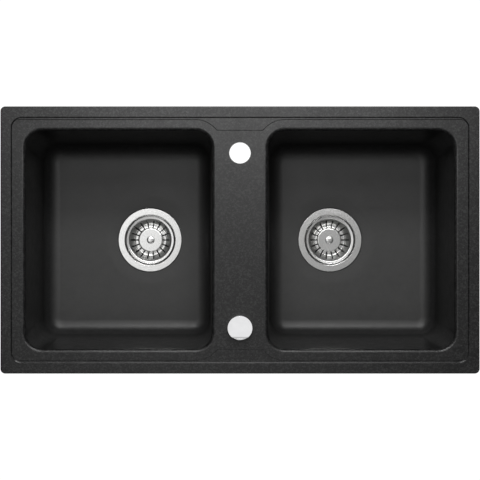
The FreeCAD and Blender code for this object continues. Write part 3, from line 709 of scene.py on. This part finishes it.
# ------------------------------------------------------------------------------ mesh helpers
def turn(mesh: bmesh.types.BMesh, profile: Profile, centre: Vector, steps: int, closed: bool = True) -> None:
    """Turns a profile about an upright axis.

    Args:
        mesh: The mesh that the turned shape is added to.
        profile: Radius and height pairs, in metres, with heights counted from the centre.
        centre: Point on the axis.
        steps: Number of faces round the axis.
        closed: Whether the profile's last point joins its first.
    """
    corners = [mesh.verts.new(centre + Vector((radius, 0.0, height))) for radius, height in profile]
    pairs = list(zip(corners, corners[1:]))
    if closed:
        pairs.append((corners[-1], corners[0]))
    edges = [mesh.edges.new(pair) for pair in pairs]
    bmesh.ops.spin(mesh, geom=corners + edges, cent=centre, axis=UP, dvec=Vector(), angle=2 * math.pi,
                   steps=steps, use_merge=True, use_duplicate=False)
    bmesh.ops.remove_doubles(mesh, verts=mesh.verts, dist=0.002 * MM)


def ease_edges(mesh: bmesh.types.BMesh, width: float, angle: float, segments: int) -> None:
    """Bevels the sharp edges of a mesh.

    Args:
        mesh: The mesh.
        width: Width of the bevel.
        angle: Edges that turn by more degrees than this are sharp.
        segments: Faces across the bevel.
    """
    limit = math.radians(angle)
    edges = [edge for edge in mesh.edges if edge.is_manifold and edge.calc_face_angle(0.0) > limit]
    bmesh.ops.bevel(mesh, geom=edges, offset=width, offset_type="OFFSET", segments=segments, profile=0.5,
                    affect="EDGES", material=-1, clamp_overlap=True)


def object_from(mesh: bmesh.types.BMesh, name: str, material: bpy.types.Material,
                sharp_angle: float = 35.0) -> bpy.types.Object:
    """Makes a smooth-shaded object from a mesh.

    Args:
        mesh: The mesh, which is freed.
        name: Name of the piece.
        material: Its finish.
        sharp_angle: Edges that turn by more degrees than this stay sharp.

    Returns:
        The object, linked to the scene, at the origin.
    """
    data = bpy.data.meshes.new(name)
    mesh.to_mesh(data)
    mesh.free()
    data.materials.append(material)
    data.polygons.foreach_set("use_smooth", [True] * len(data.polygons))
    data.set_sharp_from_angle(angle=math.radians(sharp_angle))
    piece = bpy.data.objects.new(name, data)
    bpy.context.scene.collection.objects.link(piece)
    return piece


def fit(piece: bpy.types.Object, body: str, slot: str, *nodes: str) -> None:
    """Puts a piece on its body and hides the solids it stands for.

    Args:
        piece: The piece.
        body: The body that it rides on.
        slot: The record's material slot; not used.
        *nodes: The solids that it replaces.
    """
    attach(piece, body)
    if nodes:
        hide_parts(*nodes)
    LOG.info("piece %s on %s: %d faces", piece.name, body, len(piece.data.polygons))


def merged_copy(node: bpy.types.Object) -> bmesh.types.BMesh:
    """A copy of a solid's mesh with its loose triangles joined.

    Args:
        node: The solid's object, which isn't changed.

    Returns:
        The copy.
    """
    mesh = bmesh.new()
    mesh.from_mesh(node.data)
    bmesh.ops.remove_doubles(mesh, verts=mesh.verts, dist=0.001 * MM)
    return mesh


def even_normals(piece: bpy.types.Object, weight: int = 100) -> None:
    """Keeps large flat faces flat in shading beside their rounded edges.

    Args:
        piece: The piece.
        weight: How much more a large face counts than a small one; 50 counts areas as they are.
    """
    modifier = piece.modifiers.new("even normals", "WEIGHTED_NORMAL")
    modifier.mode = "FACE_AREA"
    modifier.weight = weight
    modifier.keep_sharp = True


def round_edges(piece: bpy.types.Object, width: float, angle: float, segments: int = 2) -> None:
    """Rounds the sharp edges of a piece when it is shown.

    Args:
        piece: The piece.
        width: Width of the rounding.
        angle: Edges that turn by more degrees than this are sharp.
        segments: Faces across the rounding.
    """
    modifier = piece.modifiers.new("edges", "BEVEL")
    modifier.width = width
    modifier.segments = segments
    modifier.limit_method = "ANGLE"
    modifier.angle_limit = math.radians(angle)


def flat_regions(mesh: bmesh.types.BMesh, level: float = 0.99999) -> tuple[dict[int, int], list[float]]:
    """Groups faces that lie in one plane and touch.

    Args:
        mesh: The mesh.
        level: Least cosine between normals of one plane.

    Returns:
        The region of each face by index, and the area of each region.
    """
    region: dict[int, int] = {}
    areas: list[float] = []
    for seed in mesh.faces:
        if seed.index in region:
            continue
        region[seed.index] = len(areas)
        waiting = [seed]
        area = 0.0
        while waiting:
            face = waiting.pop()
            area += face.calc_area()
            for other in (near for edge in face.edges for near in edge.link_faces):
                if other.index not in region and seed.normal.dot(other.normal) > level:
                    region[other.index] = len(areas)
                    waiting.append(other)
        areas.append(area)
    return region, areas


def settle_flats(piece: bpy.types.Object, sharp_angle: float, least_area: float, lead: float = 4.0) -> None:
    """Shades large flat faces with their own normal where they run into roundings.

    Args:
        piece: The smooth-shaded piece.
        sharp_angle: Faces that meet at more degrees than this don't share their shading.
        least_area: Smallest flat that leads, in square metres.
        lead: How many times the next flat's area a flat needs to lead.
    """
    mesh = bmesh.new()
    mesh.from_mesh(piece.data)
    region, areas = flat_regions(mesh)
    level = math.cos(math.radians(sharp_angle))
    spread = {(face.index, loop.vert.index): loop.calc_angle() for face in mesh.faces for loop in face.loops}
    normals = {}
    for vert in mesh.verts:
        for face in vert.link_faces:
            near = [other for other in vert.link_faces if face.normal.dot(other.normal) > level]
            sizes = {region[other.index]: other for other in near}
            ranked = sorted(sizes, key=lambda number: areas[number], reverse=True)
            runner_up = areas[ranked[1]] if len(ranked) > 1 else 0.0
            if areas[ranked[0]] > max(least_area, lead * runner_up):
                normal = sizes[ranked[0]].normal.copy()
            else:
                normal = sum((other.normal * spread[other.index, vert.index] for other in near), Vector())
            normals[face.index, vert.index] = normal.normalized()
    ordered = [normals[face.index, loop.vert.index] for face in mesh.faces for loop in face.loops]
    mesh.free()
    piece.data.normals_split_custom_set(ordered)


# ------------------------------------------------------------------------------ the sink
@dataclass
class Moulding:
    """The one-piece stone moulding."""

    node: str = "sink_body"
    sharp_angle: float = 26.0
    flat_area: float = 300.0 * MM * MM

    def build(self, frame: dict[str, Any], finishes: Finishes) -> None:
        """Makes the smooth-shaded moulding from the solid.

        Args:
            frame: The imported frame.
            finishes: The materials.
        """
        mesh = merged_copy(frame["nodes"][self.node])
        piece = object_from(mesh, "sink_moulding", finishes.stone, self.sharp_angle)
        settle_flats(piece, self.sharp_angle, self.flat_area)
        fit(piece, "root", "composite", self.node)


@dataclass
class Strainer:
    """One bowl's flange and the strainer basket in it, all turned about the drain's axis."""

    side: Side
    flange_radius: float = 56.5 * MM
    rim_wall_radius: float = 44.2 * MM
    shoulder_drop: float = 3.2 * MM
    cup_radius: float = 38.5 * MM
    cup_depth: float = 28.0 * MM
    mouth_radius: float = 25.0 * MM
    collar_length: float = 6.0 * MM
    sheet: float = 0.8 * MM
    basket_radius: float = 43.7 * MM
    basket_bead: float = 1.2 * MM
    basket_depth: float = 19.2 * MM
    fold_radius: float = 27.7 * MM
    fold_run: float = 1.7 * MM
    fold_rise: float = 2.5 * MM
    disc_radius: float = 20.9 * MM
    disc_drop: float = 14.6 * MM
    slot_count: int = 18
    steps_per_slot: int = 10
    slot_width: float = 2.2 * MM
    slot_inner: float = 23.0 * MM
    slot_outer: float = 34.2 * MM
    grip_radius: float = 6.8 * MM
    grip_height: float = 3.6 * MM
    stem_radius: float = 3.0 * MM
    hub_bore: float = 5.0 * MM
    hub_radius: float = 8.0 * MM
    arm_start: float = 6.9 * MM
    arm_bite: float = 0.4 * MM
    arm_width: float = 5.0 * MM
    spider_height: float = 2.0 * MM
    flange_steps: int = 144
    hub_steps: int = 48
    grip_steps: int = 64

    def build(self, frame: dict[str, Any], finishes: Finishes) -> None:
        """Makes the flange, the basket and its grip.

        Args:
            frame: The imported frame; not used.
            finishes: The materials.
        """
        low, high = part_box(self.side.word + "_strainer_flange")
        centre = Vector(((low.x + high.x) / 2, (low.y + high.y) / 2, high.z))
        steel = finishes.steel[self.side]
        self.flange(centre, steel, finishes.dull_steel)
        self.basket(centre, steel, finishes.satin_steel[self.side], finishes.dull_steel)
        self.grip(centre, steel)

    def flange(self, centre: Vector, steel: bpy.types.Material, dull: bpy.types.Material) -> None:
        """Pressed flange with a rolled edge, a shoulder and the cup.

        Args:
            centre: Point on the drain's axis at the flange's top.
            steel: The finish of what shows.
            shaded: The dark steel inside the cup, painted as shade.
        """
        edge, wall, sheet = self.flange_radius, self.rim_wall_radius, self.sheet
        under = -self.cup_depth - self.collar_length
        mesh = bmesh.new()
        turn(mesh, [
            (edge, -2 * sheet),
            (edge, -sheet),
            (edge - sheet, 0.0),
            (wall + 1.2 * sheet, 0.0),
            (wall, -1.4 * sheet),
            (wall, -self.shoulder_drop),
            (self.cup_radius, -self.shoulder_drop - 0.4 * MM),
            (self.cup_radius, -self.cup_depth),
            (self.mouth_radius, -self.cup_depth),
            (self.mouth_radius, under),
            (self.mouth_radius + sheet, under),
            (self.mouth_radius + sheet, -self.cup_depth - sheet),
            (self.cup_radius + sheet, -self.cup_depth - sheet),
            (self.cup_radius + sheet, -self.shoulder_drop - 0.4 * MM - sheet),
            (wall + sheet, -self.shoulder_drop - sheet),
            (wall + sheet, -1.6 * sheet),
            (wall + 1.7 * sheet, -sheet),
            (edge - 1.2 * sheet, -sheet),
            (edge - sheet, -2 * sheet),
        ], centre, self.flange_steps)
        ease_edges(mesh, 0.3 * MM, 25.0, 3)
        self.spider(mesh, centre, under)
        piece = object_from(mesh, self.side.word + "_flange", steel)
        piece.data.materials.append(dull)
        # Painted shade: faces below the shoulder, inside the cup, take the dark steel.
        shoulder = centre.z - self.shoulder_drop - 0.6 * MM
        for face in piece.data.polygons:
            face.material_index = int(face.center.z < shoulder)
        even_normals(piece)
        fit(piece, "root", "steel", self.side.word + "_strainer_flange")

    def spider(self, mesh: bmesh.types.BMesh, centre: Vector, under: float) -> None:
        """Adds the bolt's hub and its four arms at the foot of the collar.

        Args:
            mesh: The flange's mesh, which the spider is added to.
            centre: Point on the drain's axis at the flange's top.
            under: Height of the collar's foot, counted from the centre.
        """
        height = self.spider_height
        length = self.mouth_radius + self.arm_bite - self.arm_start
        spider = bmesh.new()
        turn(spider, [(self.hub_bore, under), (self.hub_radius, under), (self.hub_radius, under + height),
                      (self.hub_bore, under + height)], centre, self.hub_steps)
        for number in range(4):
            arm = bmesh.ops.create_cube(spider, size=1.0)["verts"]
            middle = Vector((self.arm_start + length / 2, 0.0, under + height / 2))
            quarter = Matrix.Rotation(number * math.pi / 2, 3, "Z")
            bmesh.ops.scale(spider, vec=Vector((length, self.arm_width, height)), verts=arm)
            bmesh.ops.translate(spider, vec=middle, verts=arm)
            bmesh.ops.rotate(spider, cent=Vector(), matrix=quarter, verts=arm)
            bmesh.ops.translate(spider, vec=centre, verts=arm)
        ease_edges(spider, 0.3 * MM, 30.0, 2)
        joined = bpy.data.meshes.new("spider")
        spider.to_mesh(joined)
        spider.free()
        mesh.from_mesh(joined)
        bpy.data.meshes.remove(joined)

    def basket(self, centre: Vector, steel: bpy.types.Material, satin: bpy.types.Material,
               dull: bpy.types.Material) -> None:
        """Pressed basket: rolled rim, conical wall, slotted floor and raised disc.

        Args:
            centre: Point on the drain's axis at the flange's top.
            steel: The finish of the upper side.
            satin: The finish of the conical wall.
            shaded: The dark steel of the under side, painted as shade.
        """
        rim = -self.shoulder_drop + 0.3 * MM + self.sheet
        bead = self.basket_bead
        edge = self.basket_radius
        wall_top = self.cup_radius - 0.5 * MM - self.sheet
        floor = -self.basket_depth
        foot = self.fold_radius + self.fold_run
        disc = -self.disc_drop
        profile = [
            (edge - 0.05 * MM, rim - 0.3 * MM),
            (edge, rim + 0.35 * bead),
            (edge - 0.25 * MM, rim + 0.8 * bead),
            (edge - 0.8 * MM, rim + bead),
            (edge - 1.3 * MM, rim + 0.75 * bead),
            (edge - 1.7 * MM, rim + 0.2 * bead),
            (edge - 2.2 * MM, rim),
            (wall_top + 1.4 * MM, rim),
            (wall_top + 0.5 * MM, rim - 0.25 * MM),
            (wall_top, rim - 1.0 * MM),
            (self.slot_outer, self.wall_height(self.slot_outer, wall_top, foot, rim, floor)),
            (foot, floor + self.fold_rise),
            (self.fold_radius + 0.55 * self.fold_run, floor + 0.45 * self.fold_rise),
            (self.fold_radius + 0.1 * self.fold_run, floor + 0.1 * self.fold_rise),
            (self.fold_radius - 0.8 * MM, floor),
            (self.slot_inner, floor),
            (self.slot_inner - 0.6 * MM, floor + 0.4 * MM),
            (self.disc_radius + 0.45 * MM, floor + 2.0 * MM),
            (self.disc_radius, disc - 0.8 * MM),
            (self.disc_radius - 0.3 * MM, disc - 0.2 * MM),
            (self.disc_radius - 0.9 * MM, disc),
            (self.disc_radius - 1.6 * MM, disc),
            (self.stem_radius, disc),
        ]
        mesh = bmesh.new()
        turn(mesh, profile, centre, self.slot_count * self.steps_per_slot, closed=False)
        self.cut_slots(mesh, centre)
        bmesh.ops.recalc_face_normals(mesh, faces=mesh.faces)
        top_face = min(mesh.faces, key=lambda face: (face.calc_center_median() - centre).to_2d().length)
        if top_face.normal.z < 0.0:
            bmesh.ops.reverse_faces(mesh, faces=mesh.faces)
        piece = object_from(mesh, self.side.word + "_strainer_basket", steel)
        piece.data.materials.append(satin)
        piece.data.materials.append(dull)
        for face in piece.data.polygons:
            face.material_index = int(foot < (face.center - centre).to_2d().length < wall_top)
        wall = piece.modifiers.new("sheet", "SOLIDIFY")
        wall.thickness = self.sheet
        wall.offset = -1.0
        wall.use_even_offset = True
        # Painted shade: the sheet's under side takes the dark steel.
        wall.material_offset = 2
        round_edges(piece, 0.12 * MM, 50.0)
        even_normals(piece)
        fit(piece, self.side.word + "_strainer", "steel", self.side.word + "_basket")

    def wall_height(self, radius: float, wall_top: float, foot: float, rim: float, floor: float) -> float:
        """Height of the conical wall's inside at a radius.

        Args:
            radius: The radius asked about.
            wall_top: The wall's radius at the rim.
            foot: The wall's radius above the fold.
            rim: Height of the rim's top.
            floor: Height of the slotted floor.

        Returns:
            The height, counted from the flange's top.
        """
        share = (radius - foot) / (wall_top - foot)
        return floor + self.fold_rise + share * (rim - floor - self.fold_rise)

    def cut_slots(self, mesh: bmesh.types.BMesh, centre: Vector) -> None:
        """Opens the radial slots and makes their sides parallel and their ends round.

        Args:
            mesh: The turned basket.
            centre: Point on its axis.
        """
        pitch = 2 * math.pi / self.slot_count
        half = 0.5 * self.slot_width
        step = pitch / self.steps_per_slot

        def offset(point: Vector) -> tuple[float, float, float]:
            """Radius, slot angle and angle from the slot's middle of a point."""
            flat = point - centre
            angle = math.atan2(flat.y, flat.x)
            middle = round(angle / pitch) * pitch
            return math.hypot(flat.x, flat.y), middle, angle - middle

        gone = []
        for face in mesh.faces:
            radius, _, swing = offset(face.calc_center_median())
            if self.slot_inner < radius < self.slot_outer and abs(swing) < step:
                gone.append(face)
        bmesh.ops.delete(mesh, geom=gone, context="FACES")
        for vert in mesh.verts:
            radius, middle, swing = offset(vert.co)
            if not self.slot_inner - 0.1 * MM < radius < self.slot_outer + 0.1 * MM:
                continue
            if abs(swing) < 0.1 * step:
                outward = 1.0 if radius > (self.slot_inner + self.slot_outer) / 2 else -1.0
                push = Vector((math.cos(middle), math.sin(middle), 0.0)) * (outward * 0.6 * half)
                vert.co += push
            elif abs(swing) < 1.5 * step:
                angle = middle + math.copysign(half / radius, swing)
                vert.co.x = centre.x + radius * math.cos(angle)
                vert.co.y = centre.y + radius * math.sin(angle)

    def grip(self, centre: Vector, steel: bpy.types.Material) -> None:
        """Small turned button on the basket's disc.

        Args:
            centre: Point on the drain's axis at the flange's top.
            steel: The finish.
        """
        foot = -self.disc_drop
        top = foot + self.grip_height
        neck = (self.stem_radius + self.grip_radius) / 2
        mesh = bmesh.new()
        turn(mesh, [
            (0.0, foot),
            (neck, foot),
            (neck, foot + 0.30 * self.grip_height),
            (self.grip_radius, foot + 0.50 * self.grip_height),
            (self.grip_radius, top - 0.9 * MM),
            (self.grip_radius - 0.5 * MM, top - 0.5 * MM),
            (self.grip_radius - 1.6 * MM, top - 0.25 * MM),
            (0.4 * self.grip_radius, top - 0.06 * MM),
            (0.0, top),
        ], centre, self.grip_steps, closed=False)
        ease_edges(mesh, 0.25 * MM, 20.0, 3)
        bmesh.ops.recalc_face_normals(mesh, faces=mesh.faces)
        piece = object_from(mesh, self.side.word + "_grip_button", steel)
        fit(piece, self.side.word + "_strainer", "steel", self.side.word + "_basket_grip")


@dataclass
class TurnKnob:
    """The plated knob with its slanted face and raised lip."""

    edge_break: float = 0.3 * MM

    def build(self, frame: dict[str, Any], finishes: Finishes) -> None:
        """Makes the knob.

        Args:
            frame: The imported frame.
            finishes: The materials.
        """
        mesh = merged_copy(frame["nodes"]["control_knob"])
        piece = object_from(mesh, "knob_cap", finishes.plate, 30.0)
        round_edges(piece, self.edge_break, 25.0, 3)
        even_normals(piece)
        fit(piece, "knob", "chrome", "control_knob")


@dataclass(frozen=True)
class Lamp:
    """A soft rectangular lamp that points at the sink's middle."""

    name: str
    place: tuple[float, float, float]
    size: tuple[float, float]
    power: float

    def build(self) -> None:
        """Adds the lamp to the scene."""
        data = bpy.data.lights.new(self.name, "AREA")
        data.shape = "RECTANGLE"
        data.size, data.size_y = self.size
        data.energy = self.power
        lamp = bpy.data.objects.new(self.name, data)
        lamp.location = self.place
        lamp.rotation_mode = "QUATERNION"
        lamp.rotation_quaternion = (Vector() - lamp.location).to_track_quat("-Z", "Y")
        lamp.visible_camera = False
        bpy.context.scene.collection.objects.link(lamp)


STRIP = (1.2, 0.34)
LAMPS = (
    Lamp("wide_overhead", (0.0, 0.5, 2.6), (2.6, 2.0), 5.1),
    Lamp("strip_front", (0.0, -0.845, 1.813), STRIP, 2.0),
    Lamp("strip_above", (0.0, 0.52, 1.931), STRIP, 6.4),
    Lamp("strip_back_high", (0.0, 1.118, 1.658), STRIP, 3.7),
    Lamp("strip_back_low", (0.0, 1.439, 1.389), STRIP, 16.0),
)


@dataclass
class Studio:
    """Camera, lamps, world and floor."""

    deck_top: float = 7.8 * MM
    camera_height: float = 1846.0 * MM
    view_width: float = 781.4 * MM
    sensor: float = 36.0
    ambient: float = 0.03
    card: float = 1.0
    mirror_low: float = 0.60
    mirror_high: float = 0.97
    card_left: float = 0.16
    card_core: float = 0.06
    card_edge: float = 0.20
    floor_gap: float = 2.0 * MM
    floor_half: float = 12.0
    floor_share: float = 0.92
    floor_glow: float = 1.12

    def build(self, lowest: float) -> None:
        """Makes the whole studio.

        Args:
            lowest: Height of the object's lowest point, where the floor goes.
        """
        self.camera()
        self.world()
        self.floor(lowest - self.floor_gap)
        for lamp in LAMPS:
            lamp.build()
        bpy.context.scene.view_settings.view_transform = "Standard"

    def camera(self) -> None:
        """Looks straight down on the middle of the sink."""
        data = bpy.data.cameras.new("camera")
        data.sensor_width = self.sensor
        data.lens = self.sensor * self.camera_height / self.view_width
        data.clip_start = 0.05
        data.clip_end = 50.0
        camera = bpy.data.objects.new("camera", data)
        camera.location = (0.0, 0.0, self.deck_top + self.camera_height)
        bpy.context.scene.collection.objects.link(camera)
        bpy.context.scene.camera = camera

    def world(self) -> None:
        """Dim room with a soft bright card above, a little to the left, for the metal to reflect.

        Mirror-sharp plating sees a brighter room, darker towards the horizon.
        """
        world = bpy.data.worlds.new("room")
        world.use_nodes = True
        world.node_tree.nodes.clear()
        shader = Shader(world.node_tree)
        way = shader.add("SeparateXYZ", {0: shader.add("TexCoord").outputs["Generated"]})
        across = shader.math("ADD", way.outputs["X"], self.card_left)
        spread = shader.math("SQRT", shader.math("ADD", shader.math("MULTIPLY", across, across),
                                                 shader.math("MULTIPLY", way.outputs["Y"], way.outputs["Y"])))
        card = shader.spread(spread, self.card_core, self.card_edge, self.card, 0.0)
        overhead = shader.math("MULTIPLY", card, shader.math("GREATER_THAN", way.outputs["Z"], 0.0))
        path = shader.add("LightPath")
        reflected = shader.math("MULTIPLY", path.outputs["Is Glossy Ray"], overhead)
        glossy = shader.math("ADD", reflected, self.ambient)
        mirrored = shader.math("MULTIPLY", path.outputs["Is Singular Ray"],
                               shader.spread(way.outputs["Z"], 0.0, 1.0, self.mirror_low, self.mirror_high))
        lit = shader.math("MAXIMUM", glossy, mirrored)
        shown = shader.math("MAXIMUM", path.outputs["Is Camera Ray"], path.outputs["Is Transmission Ray"])
        back = shader.add("Background", {"Color": (1.0, 1.0, 1.0, 1.0),
                                         "Strength": shader.math("MAXIMUM", shown, lit)})
        shader.add("OutputWorld", {"Surface": back.outputs[0]})
        bpy.context.scene.world = world

    def floor(self, height: float) -> None:
        """White floor that keeps a faint shadow.

        Args:
            height: Height of the floor.
        """
        mesh = bmesh.new()
        bmesh.ops.create_grid(mesh, x_segments=1, y_segments=1, size=self.floor_half)
        bmesh.ops.translate(mesh, vec=UP * height, verts=mesh.verts)
        material = bpy.data.materials.new("white_floor")
        material.use_nodes = True
        material.node_tree.nodes.clear()
        shader = Shader(material.node_tree)
        path = shader.add("LightPath")
        seen = shader.math("MAXIMUM", path.outputs["Is Camera Ray"],
                           shader.math("MAXIMUM", path.outputs["Is Glossy Ray"],
                                       path.outputs["Is Transmission Ray"]))
        matt = shader.add("BsdfDiffuse", {"Color": (0.9, 0.9, 0.9, 1.0)})
        glow = shader.add("Emission", {"Color": (1.0, 1.0, 1.0, 1.0), "Strength": self.floor_glow})
        mix = shader.add("MixShader", {0: shader.math("MULTIPLY", seen, self.floor_share),
                                       1: matt.outputs[0], 2: glow.outputs[0]})
        shader.add("OutputMaterial", {"Surface": mix.outputs[0]})
        floor = object_from(mesh, "floor", material)
        floor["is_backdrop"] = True


@dataclass(frozen=True)
class Fitting:
    """A moulded, turned or bent fitting whose sharp edges are broken."""

    node: str
    edge_break: float
    sharp_angle: float = 32.0

    def build(self, frame: dict[str, Any], body: str, slot: str, finish: bpy.types.Material) -> None:
        """Makes the fitting from its solid.

        Args:
            frame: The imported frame.
            body: The body that it rides on.
            slot: The record's material slot.
            finish: Its material.
        """
        mesh = merged_copy(frame["nodes"][self.node])
        piece = object_from(mesh, self.node + "_finished", finish, self.sharp_angle)
        round_edges(piece, self.edge_break, self.sharp_angle)
        even_normals(piece, 50)
        fit(piece, body, slot, self.node)


SHARED_FITTINGS = {
    "lock_nut": 0.8 * MM,
    "drum_housing": 0.8 * MM,
    "housing_cover": 0.5 * MM,
    "knob_rosette": 0.2 * MM,
    "threaded_bush": 0.3 * MM,
    "back_washer": 0.2 * MM,
    "clip_screws": 0.3 * MM,
}
WASTE_FITTINGS = {
    "waste_body": 0.6 * MM,
    "cable_gland": 0.4 * MM,
    "crank_lever": 0.5 * MM,
    "lever_screw": 0.4 * MM,
    "hollow_bolt": 0.3 * MM,
    "waste_gasket": 0.4 * MM,
}
CLIP_EDGE_BREAK = 0.2 * MM


def fittings() -> list[Fitting]:
    """Every fitting with broken edges, those of both sides and the clips included."""
    pieces = [Fitting(node, width) for node, width in SHARED_FITTINGS.items()]
    for side in Side:
        pieces += [Fitting(side.word + "_" + part, width) for part, width in WASTE_FITTINGS.items()]
    places = [row + "_" + place for row in ("back", "front") for place in ("left", "middle", "right")]
    places += ["left_side", "right_side"]
    return pieces + [Fitting("clip_" + place, CLIP_EDGE_BREAK) for place in places]


def slots_of(frame: dict[str, Any]) -> dict[str, str]:
    """The record's material slot of each solid."""
    return {part["node"]: part["material_slot"] for part in frame["record"]["subparts"]}


def dress_nodes(frame: dict[str, Any], finishes: Finishes) -> None:
    """Gives every solid that stays its material.

    Args:
        frame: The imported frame.
        finishes: The materials.
    """
    slots = slots_of(frame)
    for name, node in frame["nodes"].items():
        node.data.materials.clear()
        node.data.materials.append(finishes.of_node(name, slots[name]))


def main() -> None:
    """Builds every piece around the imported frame."""
    logging.basicConfig(level=logging.INFO, format="%(name)s: %(message)s")
    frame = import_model()
    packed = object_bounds()
    low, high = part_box("right_strainer_flange")
    effects = Effects.build()
    finishes = Finishes.build(effects, (low.x + high.x) / 2)
    Studio().build(packed[0].z)
    dress_nodes(frame, finishes)
    Moulding().build(frame, finishes)
    for side in Side:
        Strainer(side).build(frame, finishes)
    TurnKnob().build(frame, finishes)
    bodies = {node: body for body, nodes in frame["record"]["behaviour"]["bodies"].items() for node in nodes}
    slots = slots_of(frame)
    for fitting in fittings():
        slot = slots[fitting.node]
        fitting.build(frame, bodies[fitting.node], slot, finishes.of_node(fitting.node, slot))


if __name__ == "__main__":
    main()
